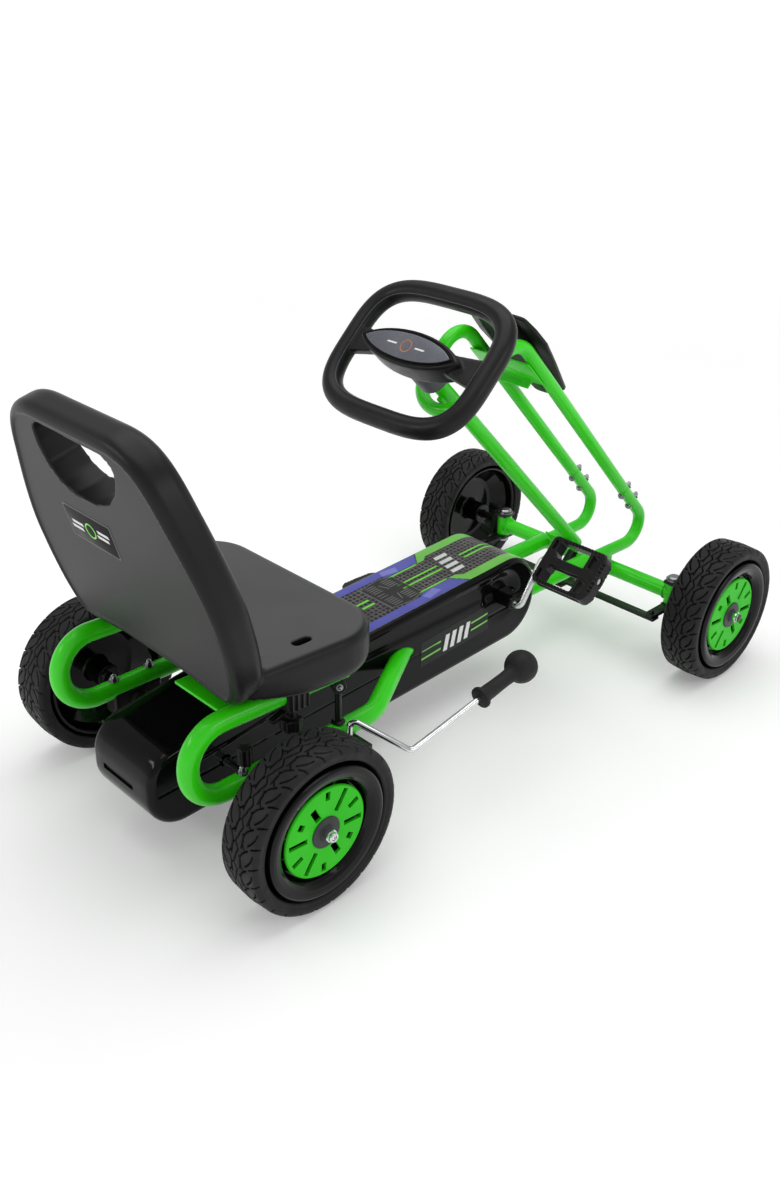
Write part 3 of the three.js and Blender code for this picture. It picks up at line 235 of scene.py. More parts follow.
SEAT_PLASTIC = seat_finish()
TYRE_RUBBER = tyre_finish()
SPECKLE = speckled_finish()
FILM_GREEN = film("film_green", "70c050", "7ccc5c")
FILM_LIME = film("film_lime", "72d83c", "80e44c")
FILM_PURPLE = film("film_purple", "5558ae", "5f62ba")
FILM_LILAC = film("film_lilac", "7c7ecb", "8688d4")
FILM_WHITE = film("film_white", "d8d8d8", "e4e4e4")
FILM_DARK = film("film_dark", "242122", "2c292a")
FILM_SMOKE = film("film_smoke", "0e1110", "141816")
FILM_BLACK = film("film_black", "080808", "0c0c0c", specular=0.08)
FILM_COPPER = film("film_copper", "a8694a", "b87a58")
FILM_EDGE = film("film_edge", "666866", "767876")


# ---------------------------------------------------------------- mesh helpers
# A shape is a pair (points, faces): an array of points and a list of tuples of their indices.
def joined(*shapes):
    points, faces, start = [], [], 0
    for shape_points, shape_faces in shapes:
        points.append(np.asarray(shape_points, float).reshape(-1, 3))
        faces += [tuple(i + start for i in face) for face in shape_faces]
        start += len(points[-1])
    return np.vstack(points), faces


def placed(shape, matrix):
    matrix = np.array(matrix, float)
    return np.asarray(shape[0]) @ matrix[:3, :3].T + matrix[:3, 3], shape[1]


def moved(shape, x=0, y=0, z=0):
    return np.asarray(shape[0]) + (x, y, z), shape[1]


def bridged(rings, closed_along=False, caps=True):
    """Skin over rings of the same number of points."""
    count = len(rings[0])
    points = np.vstack(rings)
    faces = []
    last = len(rings) if closed_along else len(rings) - 1
    for i in range(last):
        a, b = i * count, (i + 1) % len(rings) * count
        faces += [(a + j, a + (j + 1) % count, b + (j + 1) % count, b + j) for j in range(count)]
    if caps and not closed_along:
        faces.append(tuple(range(count - 1, -1, -1)))
        faces.append(tuple((len(rings) - 1) * count + j for j in range(count)))
    return points, faces


def smooth_step(value, low, high):
    t = np.clip((value - low) / (high - low), 0, 1)
    return t * t * (3 - 2 * t)


def fillet(points, radii, closed=False, steps=5):
    """A 2-D polyline with its corners rounded by arcs. radii is one number or one per point."""
    points = [np.array(p, float) for p in points]
    count = len(points)
    radii = [radii] * count if np.isscalar(radii) else radii
    result = []
    for i, corner in enumerate(points):
        if (not closed and i in (0, count - 1)) or radii[i] <= 0:
            result.append(corner)
            continue
        before, after = points[i - 1] - corner, points[(i + 1) % count] - corner
        reach_before, reach_after = np.linalg.norm(before), np.linalg.norm(after)
        before, after = before / reach_before, after / reach_after
        half = math.acos(max(-1, min(1, before @ after))) / 2
        if half > math.radians(89):
            result.append(corner)
            continue
        reach = min(radii[i] / math.tan(half), 0.49 * reach_before, 0.49 * reach_after)
        radius = reach * math.tan(half)
        middle = (before + after) / np.linalg.norm(before + after)
        centre = corner + middle * radius / math.sin(half)
        first, last = corner + before * reach - centre, corner + after * reach - centre
        turn = math.pi - 2 * half
        for step in range(steps + 1):
            t = step / steps
            mix = (math.sin((1 - t) * turn) * first + math.sin(t * turn) * last) / math.sin(turn)
            result.append(centre + mix)
    return np.array(result)


def inward_normals(outline):
    ahead = np.roll(outline, -1, 0) - np.roll(outline, 1, 0)
    ahead /= np.linalg.norm(ahead, axis=1)[:, None]
    x, y = outline[:, 0], outline[:, 1]
    area = np.sum(x * np.roll(y, -1) - np.roll(x, -1) * y)
    return np.stack([-ahead[:, 1], ahead[:, 0]], 1) * math.copysign(1, area)


def circle(radius, count=48):
    angles = np.linspace(0, 2 * math.pi, count + 1)[:-1]
    return radius * np.column_stack([np.cos(angles), np.sin(angles)])


def resampled(line, count):
    """Points at even distances along a 2-D polyline."""
    length = np.concatenate([[0], np.cumsum(np.linalg.norm(np.diff(line, axis=0), axis=1))])
    even = np.linspace(0, length[-1], count)
    return np.column_stack([np.interp(even, length, line[:, k]) for k in (0, 1)])


def bezier(points, steps=16):
    a, b, c, d = (np.array(p, float) for p in points)
    t = np.linspace(0, 1, steps, endpoint=False)[:, None]
    return (1 - t) ** 3 * a + 3 * (1 - t) ** 2 * t * b + 3 * (1 - t) * t ** 2 * c + t ** 3 * d


def slab(outline, low, high, edge=0.0, segments=4):
    """An outline raised from low to high along z. edge is the radius of both edges, or (low, high)."""
    outline = np.asarray(outline, float)
    normals = inward_normals(outline)
    bottom, top = (edge, edge) if np.isscalar(edge) else edge
    arc = [math.radians(90 * k / segments) for k in range(segments + 1)]
    levels = [(bottom * (1 - math.sin(a)), low + bottom * (1 - math.cos(a)))
              for a in (arc if bottom else arc[-1:])]
    levels += [(top * (1 - math.cos(a)), high - top * (1 - math.sin(a))) for a in (arc if top else arc[:1])]
    rings = []
    for inset, z in levels:
        flat = outline + normals * inset
        rings.append(np.column_stack([flat, np.full(len(flat), z)]))
    return bridged(rings)


def cuboid(width, depth, height, centre, edge=0.0):
    w, d = width / 2, depth / 2
    outline = fillet([(-w, -d), (w, -d), (w, d), (-w, d)], edge, closed=True, steps=3)
    return moved(slab(outline, -height / 2, height / 2, edge, 3), *centre)


def bent_route(corners, radii, degrees=4.0):
    """Stations (point, direction) of straight runs joined by arcs."""
    corners = [Vector(c) for c in corners]
    stations = [(corners[0], (corners[1] - corners[0]).normalized())]
    for i in range(1, len(corners) - 1):
        inward = (corners[i] - corners[i - 1]).normalized()
        outward = (corners[i + 1] - corners[i]).normalized()
        turn = inward.angle(outward)
        if turn < 1e-4:
            continue
        start = corners[i] - inward * radii[i - 1] * math.tan(turn / 2)
        side = (outward - inward * math.cos(turn)).normalized()
        steps = max(3, math.ceil(math.degrees(turn) / degrees))
        for step in range(steps + 1):
            angle = turn * step / steps
            at = start + inward * radii[i - 1] * math.sin(angle) + side * radii[i - 1] * (1 - math.cos(angle))
            stations.append((at, inward * math.cos(angle) + side * math.sin(angle)))
    stations.append((corners[-1], (corners[-1] - corners[-2]).normalized()))
    return stations


def sweep(stations, radius, sides=32, edge=0.6):
    """A round bar along stations, its end edges slightly rounded."""
    (first, ahead), (last, onward) = stations[0], stations[-1]
    path = [(first, ahead, radius - edge), (first + ahead * edge, ahead, radius)]
    path += [(at, along, radius) for at, along in stations[1:-1]]
    path += [(last - onward * edge, onward, radius), (last, onward, radius - edge)]
    across = ahead.orthogonal().normalized()
    rings = []
    for at, along, size in path:
        across = (across - along * across.dot(along)).normalized()
        third = along.cross(across)
        rings.append(np.array([at + (across * math.cos(a) + third * math.sin(a)) * size
                               for a in (2 * math.pi * k / sides for k in range(sides))]))
    return bridged(rings)


def bar(start, end, radius, sides=32, edge=0.6):
    start, end = Vector(start), Vector(end)
    along = (end - start).normalized()
    return sweep([(start, along), (end, along)], radius, sides, edge)


def facing(origin, axis, about=(0, 0, 1)):
    """Matrix that puts a shape's +X along axis and its origin at origin."""
    x = Vector(axis).normalized()
    z = (Vector(about) - x * x.dot(Vector(about)))
    z = x.orthogonal() if z.length < 1e-6 else z
    z.normalize()
    y = z.cross(x)
    return Matrix(((x.x, y.x, z.x, origin[0]), (x.y, y.y, z.y, origin[1]),
                   (x.z, y.z, z.z, origin[2]), (0, 0, 0, 1)))


def lathe(profile, sides=96, closed=True):
    """A solid turned about x. The profile lists (x, radius); radius 0 closes it on the axis."""
    x, radius = np.asarray(profile, float).T
    points = np.vstack([np.column_stack([x, radius * math.cos(a), radius * math.sin(a)])
                        for a in 2 * np.pi * np.arange(sides) / sides])
    count = len(profile)
    faces = []
    for i in range(sides):
        a, b = i * count, (i + 1) % sides * count
        for j in range(count if closed else count - 1):
            k = (j + 1) % count
            faces.append((a + j, b + j, b + k, a + k))
    return points, faces


def hexagon_prism(across_corners, low, high, chamfer=0.8):
    """A hexagonal nut or head along x, with its corners turned off."""
    rings = []
    for x, inset in ((low, chamfer), (low + chamfer * 0.6, 0), (high - chamfer * 0.6, 0), (high, chamfer)):
        ring = []
        for k in range(24):
            angle = 2 * math.pi * k / 24
            inside = math.cos(math.pi / 6) / math.cos((angle % (math.pi / 3)) - math.pi / 6)
            size = min(across_corners * inside, across_corners - inset) if inset else across_corners * inside
            ring.append((x, size * math.cos(angle), size * math.sin(angle)))
        rings.append(np.array(ring))
    return bridged(rings)


def dome_nut(size=6.0, height=11.0):
    """An acorn nut along x from its seat at x = 0."""
    cap = [(height * 0.45, 0.0)]
    for k in range(7):
        angle = math.radians(90 * (1 - k / 6))
        cap.append((height * 0.45 + height * 0.55 * math.sin(angle), size * 0.82 * math.cos(angle)))
    return joined(washer(size * 1.3, 1.2), hexagon_prism(size, 1.2, height * 0.5), lathe(cap, 32))


def washer(radius, height, sides=32):
    return lathe([(0, 0), (0, radius), (height, radius), (height, 0)], sides)


def in_scene(name, data):
    obj = bpy.data.objects.new(name, data)
    bpy.context.scene.collection.objects.link(obj)
    return obj


def to_object(name, shape, smooth=40):
    points, faces = shape
    mesh = bpy.data.meshes.new(name)
    mesh.from_pydata(metres(points).tolist(), [], faces)
    bm = bmesh.new()
    bm.from_mesh(mesh)
    bmesh.ops.remove_doubles(bm, verts=bm.verts, dist=2e-6)
    bmesh.ops.dissolve_degenerate(bm, edges=bm.edges, dist=1e-7)
    bmesh.ops.recalc_face_normals(bm, faces=bm.faces)
    bm.to_mesh(mesh)
    bm.free()
    obj = in_scene(name, mesh)
    shade(obj, smooth)
    return obj


def shade(obj, smooth):
    obj.data.shade_smooth()
    obj.data.set_sharp_from_angle(angle=math.radians(smooth))


def at_origin(obj):
    """Takes the drawing's shift off a shape that was made round the origin, to be placed by in_part()."""
    obj.data.transform(Matrix.Translation((0, -SHIFT_Y / 1000, 0)))


def apply_modifiers(obj):
    mesh = bpy.data.meshes.new_from_object(obj.evaluated_get(bpy.context.evaluated_depsgraph_get()))
    obj.modifiers.clear()
    obj.data = mesh


def carved(obj, *tools, operation="DIFFERENCE"):
    for tool in tools:
        cutter = to_object("cutter", tool)
        modifier = obj.modifiers.new("cut", "BOOLEAN")
        modifier.operation, modifier.solver, modifier.object = operation, "EXACT", cutter
        apply_modifiers(obj)
        bpy.data.objects.remove(cutter)
    return obj


def remeshed(obj, voxel, rounds):
    """Fuse a piece into one skin and soften its edges as a mould would."""
    modifier = obj.modifiers.new("fuse", "REMESH")
    modifier.mode, modifier.voxel_size = "VOXEL", voxel / 1000
    softer = obj.modifiers.new("soften", "SMOOTH")
    softer.factor, softer.iterations = 0.5, rounds
    apply_modifiers(obj)
    return obj


def finished(obj, finish, body, slot, *nodes):
    obj.data.materials.clear()
    obj.data.materials.append(finish.material)
    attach(obj, body)
    if nodes:
        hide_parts(*nodes)
    return obj


def piece(name, shape, finish, body, slot, *nodes, smooth=40):
    return finished(to_object(name, shape, smooth), finish, body, slot, *nodes)


def softened(node, width, finish, body, slot, segments=2, sharp=40):
    """A CAD node's shape with its edges rounded."""
    mesh = frame["nodes"][node].data.copy()
    bm = bmesh.new()
    bm.from_mesh(mesh)
    bmesh.ops.remove_doubles(bm, verts=bm.verts, dist=1e-6)
    bmesh.ops.dissolve_limit(bm, angle_limit=math.radians(1), verts=bm.verts, edges=bm.edges)
    edges = [e for e in bm.edges if e.is_manifold and e.calc_face_angle() > math.radians(sharp)]
    bmesh.ops.bevel(bm, geom=edges, offset=width / 1000, segments=segments, profile=0.5, affect="EDGES",
                    clamp_overlap=True)
    bm.to_mesh(mesh)
    bm.free()
    obj = in_scene(node + "_form", mesh)
    shade(obj, 35)
    return finished(obj, finish, body, slot, node)


# ---------------------------------------------------------------- the steering axis
COLUMN_ANGLE = math.radians(44.7)
STEER = Matrix.Translation((0, 21, 516)) @ Matrix.Rotation(COLUMN_ANGLE - math.pi / 2, 4, "X")


def steered(shape):
    return placed(shape, STEER)


def on_axis(x, y, z):
    return STEER @ Vector((x, y, z))


# ---------------------------------------------------------------- frame tubes
TUBE_RADIUS = 12.5
HOOP_RADIUS = 9.5
MAIN_TUBE_X, LOWER_RUN_X, MAIN_TUBE_Z = 46, 133, 131.5
LOOP_RADIUS, LOOP_CENTRE_Y, LOOP_BOTTOM_Z = 47.3, 443, 127
HOOP_X, HOOP_U_Z, HOOP_U_Y = 49, -84, 26.5
LEG_TOP_Y, LEG_JOINT_Y, LEG_JOINT_Z = -106, -100, -498.5
MAIN_TUBE_FRONT_Y = -340
LOOP_END_Y = LOOP_CENTRE_Y + LOOP_RADIUS
LOWER_RUN_START_Y, UPPER_RUN_START_Y = 212, 262
BEARING_BOLTS_Y = (418, 365)
DRAIN_TILT = math.radians(-16)


def upper_run_z(y):
    return LOOP_BOTTOM_Z + 2 * LOOP_RADIUS - 5 * (LOOP_CENTRE_Y - y) / (LOOP_CENTRE_Y - UPPER_RUN_START_Y)


def lower_run_z(y):
    along = (y - LOWER_RUN_START_Y) / (LOOP_END_Y - LOWER_RUN_START_Y)
    return MAIN_TUBE_Z + (LOOP_BOTTOM_Z - MAIN_TUBE_Z) * along


def frame_tube(side, sign):
    joint = on_axis(sign * HOOP_X, LEG_JOINT_Y, LEG_JOINT_Z)
    down = (joint - on_axis(sign * HOOP_X, LEG_TOP_Y, HOOP_U_Z)).normalized()
    nose = joint + down * ((joint.z - MAIN_TUBE_Z) / -down.z)
    nose.x, nose.z = sign * HOOP_X, MAIN_TUBE_Z
    hairpin_end = (sign * MAIN_TUBE_X, MAIN_TUBE_FRONT_Y + 12, MAIN_TUBE_Z)
    hairpin = bent_route([joint + down * 0.5, nose, hairpin_end], [32])
    rear = bent_route([
        (sign * MAIN_TUBE_X, MAIN_TUBE_FRONT_Y, MAIN_TUBE_Z), (sign * MAIN_TUBE_X, 72, MAIN_TUBE_Z),
        (sign * LOWER_RUN_X, LOWER_RUN_START_Y, MAIN_TUBE_Z), (sign * LOWER_RUN_X, LOOP_END_Y, LOOP_BOTTOM_Z),
        (sign * LOWER_RUN_X, LOOP_END_Y, upper_run_z(LOOP_END_Y)),
        (sign * LOWER_RUN_X, UPPER_RUN_START_Y, upper_run_z(UPPER_RUN_START_Y)),
    ], [60, 60, LOOP_RADIUS - 0.6, LOOP_RADIUS - 1.6])
    collar = lathe([(0, 9.6), (0, 10.6), (1, 12), (3, 12.9), (7, 12.9), (9, 12.5), (9, 9.6)], 40)
    collar = placed(collar, facing((sign * MAIN_TUBE_X, MAIN_TUBE_FRONT_Y - 3, MAIN_TUBE_Z), (0, 1, 0)))
    tube = joined(sweep(hairpin, HOOP_RADIUS, 32), sweep(rear, TUBE_RADIUS, 40), collar)
    piece(f"frame_tube_{side}_form", tube, GREEN_PAINT, "frame", "green_paint", f"frame_tube_{side}")

    outward = Vector((0, math.cos(DRAIN_TILT), math.sin(DRAIN_TILT)))
    facing_out = (outward + Vector((sign * 0.25, 0, 0))).normalized()
    drain = Vector((sign * LOWER_RUN_X, LOOP_CENTRE_Y, LOOP_BOTTOM_Z + LOOP_RADIUS))
    drain += outward * (LOOP_RADIUS - 0.8) + facing_out * (TUBE_RADIUS - 0.6)
    # painted shade: a near-black disc on the tube stands for the shade inside the drain hole
    piece(f"loop_drain_{side}", placed(washer(2.6, 0.75, 20), facing(drain, facing_out)), PAINTED_HOLE_SHADE, "frame",
          "green_paint")


for side, sign in SIDES:
    frame_tube(side, sign)
    for index, y in enumerate(BEARING_BOLTS_Y):
        top = (sign * LOWER_RUN_X, y, lower_run_z(y) + TUBE_RADIUS - 0.6)
        nut = placed(dome_nut(5.4, 10), facing(top, (0, 0, 1)))
        piece(f"bearing_nut_{side}_{index + 1}", nut, ZINC, "frame", "bright_steel")

COLUMN_RADIUS, COLUMN_TOP_Z, COLUMN_FOOT_Z = 10.8, -52, -541
column = bar((0, 0, COLUMN_FOOT_Z), (0, 0, COLUMN_TOP_Z), COLUMN_RADIUS, 48)
block_depth = HOOP_U_Y - HOOP_RADIUS - 1.2
column_block = cuboid(8, block_depth, 12, (0, block_depth / 2, HOOP_U_Z), 1.5)
piece("steering_column_tube_form", steered(joined(column, column_block)), GREEN_PAINT, "frame", "green_paint",
      "steering_column_tube")

hoop_stations = bent_route([
    (HOOP_X, LEG_JOINT_Y, LEG_JOINT_Z + 0.5), (HOOP_X, LEG_TOP_Y, HOOP_U_Z), (HOOP_X, HOOP_U_Y, HOOP_U_Z),
    (-HOOP_X, HOOP_U_Y, HOOP_U_Z), (-HOOP_X, LEG_TOP_Y, HOOP_U_Z), (-HOOP_X, LEG_JOINT_Y, LEG_JOINT_Z + 0.5),
], [40, HOOP_X - 0.01, HOOP_X - 0.01, 40])
hoop = steered(sweep(hoop_stations, HOOP_RADIUS, 32))
piece("steering_hoop_form", hoop, GREEN_PAINT, "frame", "green_paint", "steering_hoop")

KINGPIN_X, BEAM_RADIUS, BEAM_Z, BOSS_RADIUS, BOSS_HEIGHT = 172, 12, 103.5, 12, 34
LUG_TOP_Z = MAIN_TUBE_Z - HOOP_RADIUS - 0.4
beam_parts = [bar((-KINGPIN_X, FRONT_AXLE_Y, BEAM_Z), (KINGPIN_X, FRONT_AXLE_Y, BEAM_Z), BEAM_RADIUS, 40)]
for sign in (1, -1):
    at = Vector((sign * KINGPIN_X, FRONT_AXLE_Y, BEAM_Z))
    up = Vector((0, 0, BOSS_HEIGHT / 2))
    beam_parts.append(bar(at - up, at + up, BOSS_RADIUS, 40, 1))
    bead_at = (sign * (KINGPIN_X - 11.5), FRONT_AXLE_Y, BEAM_Z)
    beam_parts.append(placed(lathe(circle(1.6, 8) + (0, BOSS_RADIUS + 0.4), 40), facing(bead_at, (1, 0, 0))))
    lug_at = (sign * MAIN_TUBE_X, FRONT_AXLE_Y, (LUG_TOP_Z + BEAM_Z) / 2)
    beam_parts.append(cuboid(6, 18, LUG_TOP_Z - BEAM_Z, lug_at, 1))
piece("front_axle_beam_form", joined(*beam_parts), GREEN_PAINT, "frame", "green_paint", "front_axle_beam")

for node, width in (("hoop_cross_bracket", 0.8), ("column_foot_bracket", 0.9), ("saddle_plate", 1.2)):
    softened(node, width, GREEN_PAINT, "frame", "green_paint")

# Bolts through each joint of the hoop's legs: the domed head towards the driver, the nut in front.
HOOP_FACE = HOOP_RADIUS - 0.1
leg = Vector((0, LEG_JOINT_Y - LEG_TOP_Y, LEG_JOINT_Z - HOOP_U_Z)).normalized()
across_leg = Vector((0, -leg.z, leg.y))
for side, sign in SIDES:
    for index, step in enumerate((10, 43)):
        middle = Vector((sign * HOOP_X, LEG_JOINT_Y, LEG_JOINT_Z)) + leg * step
        dome = lathe(fillet([(1, 0), (1, 5), (3, 4.7), (4.8, 2.5), (5.2, 0)], 1.4), 32)
        head = joined(washer(6.2, 1), dome)
        nut = joined(washer(6.2, 1), hexagon_prism(5, 1, 4.4),
                     lathe([(4.2, 0), (4.2, 2.9), (7, 2.9), (7.8, 2.2), (7.8, 0)], 20))
        bolt = joined(placed(head, facing(middle + across_leg * HOOP_FACE, across_leg)),
                      placed(nut, facing(middle - across_leg * HOOP_FACE, -across_leg)))
        node = f"hairpin_bolt_{side}_{index + 1}"
        piece(node + "_form", steered(bolt), ZINC, "frame", "bright_steel", node)

# Shield: a plate with cut corners that narrows downwards and stands off the legs on a block.
SHIELD_HALF = [(33, -81), (49, -82.5), (57, -107), (60, -138), (50, -188), (32, -263)]


def shield(scale, low, high, edge):
    outline = [(scale * x, z) for x, z in SHIELD_HALF] + [(-scale * x, z) for x, z in reversed(SHIELD_HALF)]
    return placed(slab(fillet(outline, 9, closed=True), low, high, edge, 3), UPRIGHT)


SHIELD_BACK_Y = LEG_TOP_Y - HOOP_RADIUS - 0.4
shield_shape = joined(shield(1, SHIELD_BACK_Y - 16, SHIELD_BACK_Y - 10, 2.2),
                      shield(0.5, SHIELD_BACK_Y - 11, SHIELD_BACK_Y, 0.5))
piece("front_shield_form", steered(shield_shape), SATIN_BLACK, "frame", "satin_black", "front_shield",
      smooth=25)

# ---------------------------------------------------------------- wheels
WHEEL_RADIUS, RIM_RADIUS, DISC_RADIUS = 106, 85, 58
TREAD_REPEATS = 26
TREAD_STEPS = 30                     # grid steps along one repeat
TREAD_ACROSS = 124                   # points across the tyre's outside
TREAD_LOW_RADIUS = 97                # grooves fade out towards the side wall here
GROOVE_DEPTH = 3.0
GROOVE_HALF_WIDTH = 0.75


def tread_curves():
    """Grooves of one repeat as point lists (x, place), place running from 0 to 1 along the tread."""
    t = np.linspace(0, 1, 50)
    wave = np.sin(np.pi * t)
    curves = [(2.2 * np.sin(2 * np.pi * t) + 0.8 * np.sin(4 * np.pi * t), t)]
    for sign, shift in ((1, 0.0), (-1, 0.5)):
        curves += [
            (sign * (7.0 + 9.5 * (1 - t) ** 1.6 - 2.2 * wave ** 2), shift + 1.02 * t - 0.16 * wave),
            (sign * (5.2 + 7.0 * t ** 1.5 + 1.2 * np.sin(2 * np.pi * t)), shift + 0.42 + 0.62 * t),
            (sign * (24.5 - 9.0 * t + 2.0 * wave), shift + 0.12 + 0.66 * t),
            (sign * (29 - 8 * t), shift + 0.7 + 0.16 * t),
        ]
    return [np.column_stack(curve) for curve in curves]


def tread_depth(xs, places, cell):
    """How deep each point of one repeat's grid lies in a groove, from 0 to 1."""
    spots = np.vstack([(curve + (0, shift)) * (1, cell) for curve in tread_curves() for shift in (-1, 0, 1)])
    grid = np.stack(np.meshgrid(xs, places * cell, indexing="ij"), -1).reshape(-1, 1, 2)
    distance = np.sqrt(((grid - spots[None]) ** 2).sum(-1)).min(1).reshape(len(xs), len(places))
    return 1 - smooth_step(distance, GROOVE_HALF_WIDTH - 0.45, GROOVE_HALF_WIDTH + 0.45)


def tyre_object():
    """The tyre round the origin, with its groove depths kept as a mesh attribute for the rubber's painted
    groove shade.
    """
    half = [(18, RIM_RADIUS + 1.4), (26.6, RIM_RADIUS + 2.2), (28.2, 89.4), (28.6, 92.5), (29.6, 94),
            (30, 98.5), (27.6, 104), (0, WHEEL_RADIUS)]
    bends = [0, 1.2, 1, 1, 1.2, 5, 5, 60]
    outer = fillet([(-x, r) for x, r in half] + half[-2::-1], bends + bends[-2::-1], steps=3)
    xs, radii = resampled(outer, TREAD_ACROSS).T
    cell = 2 * math.pi * WHEEL_RADIUS / TREAD_REPEATS
    groove = tread_depth(xs, np.arange(TREAD_STEPS) / TREAD_STEPS, cell)
    groove *= smooth_step(radii, TREAD_LOW_RADIUS, TREAD_LOW_RADIUS + 3.5)[:, None]
    steps = TREAD_REPEATS * TREAD_STEPS
    rings = []
    for i in range(steps):
        angle = 2 * math.pi * i / steps
        size = radii - GROOVE_DEPTH * groove[:, i % TREAD_STEPS]
        rings.append(np.column_stack([xs, size * math.cos(angle), size * math.sin(angle)]))
    obj = to_object("tyre_master", bridged(rings, closed_along=True), 60)
    x, y, z = millimetres([v.co for v in obj.data.vertices]).T
    turn = np.round(np.arctan2(z, y) / (2 * math.pi) * steps).astype(int) % TREAD_STEPS
    across = np.abs(xs[None] - x[:, None]).argmin(1)
    # painted shade: how darkly each point is painted for the shade in its groove
    dark = np.where(np.hypot(y, z) < TREAD_LOW_RADIUS, 0, groove[across, turn])
    obj.data.attributes.new("groove", "FLOAT", "POINT").data.foreach_set("value", dark.astype(np.float32))
    return obj


def rim_shape():
    outer = [(16, 86.2), (18, 83.2), (28, 83.4), (30.6, 82.4), (31.9, 79.4), (31.8, 75.5), (30.2, 70),
             (27, 65.4), (22.5, 62.6), (19, 61.6), (15.5, 61.2), (15.5, 18), (22, 17.5), (22, 6.6)]
    inner = [(-27, 6.6), (-27, 16), (-25, 17), (5, 17), (8, 20), (8, 50), (6.5, 56), (-10, 73), (-14, 75.6),
             (-25, 78.6), (-27, 80), (-27, 83.2), (-18, 83.2), (-16, 86.2)]
    return lathe(fillet(outer + inner, 2.6, closed=True, steps=4), 120)


def disc_shape():
    profile = [(21.6, 19), (25.2, 19), (25.2, DISC_RADIUS - 1.4), (23.6, DISC_RADIUS), (21.6, DISC_RADIUS)]
    return lathe(fillet(profile, 0.8, closed=True, steps=3), 96)


def disc_slots():
    """Windows of the disc: six radial openings (from, to, width) that come twice, 30 degrees apart."""
    openings = ((42, 53, 6.6), (26, 54, 6.6), (38, 53, 6.6), (27, 53, 6.6), (38, 47, 8), (23, 42, 8.4))
    slots = []
    for i in range(12):
        start, end, width = openings[i % 6]
        slot = cuboid(16, width, end - start, (24, 0, (start + end) / 2))
        slots.append(placed(slot, Matrix.Rotation(math.radians(-30 * i - 4), 4, "X")))
    return joined(*slots)


def hub_cap_shape():
    """Dark washer plate in the middle of the disc, with the bushing that the nut clamps."""
    profile = [(15.8, 6.4), (15.8, 20), (26, 20), (26.8, 19), (26.8, 10.4), (28.6, 9.6), (28.6, 6.4)]
    return lathe(fillet(profile, 0.6, closed=True, steps=3), 64)


def nut_shape():
    """Hexagon nut and the hollow end of its bolt."""
    profile = [(35, 6.3), (38.6, 6.3), (39.9, 5.2), (39.9, 3.6), (37.6, 3.4), (37.6, 0), (35, 0)]
    return joined(hexagon_prism(8.4, 28.6, 35.6, 1.0), lathe(fillet(profile, 0.4), 32, closed=False))


disc_object = carved(to_object("disc_master", disc_shape(), 30), disc_slots())
shade(disc_object, 30)
MASTERS = (("tyre", tyre_object(), TYRE_RUBBER, "tyre_rubber"),
           ("rim", to_object("rim_master", rim_shape(), 30), RIM_BLACK, "gloss_black"),
           ("hub_disc", disc_object, GREEN_PLASTIC, "green_plastic"),
           ("hub_cap", to_object("cap_master", hub_cap_shape(), 30), HUB_GREY, "satin_black"),
           ("axle_nut", to_object("nut_master", nut_shape(), 30), CHROME, "bright_steel"))
for _, master, _, _ in MASTERS:
    at_origin(master)

WHEELS = {                            # x, y and a turn, so that the discs' patterns stand as they should
    "rear_left": (219, REAR_AXLE_Y, 90), "rear_right": (-219, REAR_AXLE_Y, 0),
    "front_left": (250, FRONT_AXLE_Y, 180), "front_right": (-250, FRONT_AXLE_Y, 0),
}
for wheel, (x, y, spin) in WHEELS.items():
    turn = Matrix.Rotation(math.pi if x < 0 else 0, 4, "Z") @ Matrix.Rotation(math.radians(spin), 4, "X")
    for part, master, finish, slot in MASTERS:
        node = f"{wheel}_{part}"
        obj = in_scene(node + "_form", master.data)
        obj.matrix_world = in_part(Matrix.Translation((x, y, WHEEL_RADIUS)) @ turn)
        finished(obj, finish, NODE_BODY[f"{wheel}_rim"], slot, *([node] if node in NODE_BODY else []))
for _, master, _, _ in MASTERS:
    bpy.data.objects.remove(master)

# ---------------------------------------------------------------- axles, knuckles and track rod
AXLE_END, AXLE_RADIUS = 255, 6
CLAMP_Y, STRUT_Y = 345, 272
CRANK_Y, CRANK_Z = -107, 151
BEARING_BOTTOM_Z, BEARING_HALF_WIDTH = 92, 18


def on_axle(x):
    return (x, REAR_AXLE_Y, WHEEL_RADIUS)


def on_crank(x):
    return (x, CRANK_Y, CRANK_Z)


def star(radius, low, high, lobes=6):
    """A lobed hand knob along z."""
    angles = np.linspace(0, 2 * np.pi, 73)[:-1]
    size = radius * (0.9 + 0.1 * np.cos(lobes * angles))
    return slab(np.column_stack([size * np.cos(angles), size * np.sin(angles)]), low, high, 2, 3)


def axle_bearing(side, sign):
    """A block that hangs under the lower run, held by the two nuts on top of the tube."""
    x, top = sign * LOWER_RUN_X, lower_run_z(REAR_AXLE_Y) - 2
    block = cuboid(26, 70, top - BEARING_BOTTOM_Z, (x, REAR_AXLE_Y, (top + BEARING_BOTTOM_Z) / 2), 3)
    collar = bar(on_axle(x - sign * BEARING_HALF_WIDTH), on_axle(x + sign * BEARING_HALF_WIDTH), 13, 40, 1.5)
    obj = to_object(f"axle_bearing_{side}_form", joined(block, collar))
    remeshed(obj, 1.2, 3)
    carved(obj, bar((x, 330, lower_run_z(330)), (x, 450, lower_run_z(450)), TUBE_RADIUS + 0.3, 40),
           bar(on_axle(sign * 100), on_axle(sign * 165), AXLE_RADIUS + 0.4, 32))
    shade(obj, 40)
    finished(obj, SATIN_BLACK, "frame", "black_moulding", f"axle_bearing_{side}")


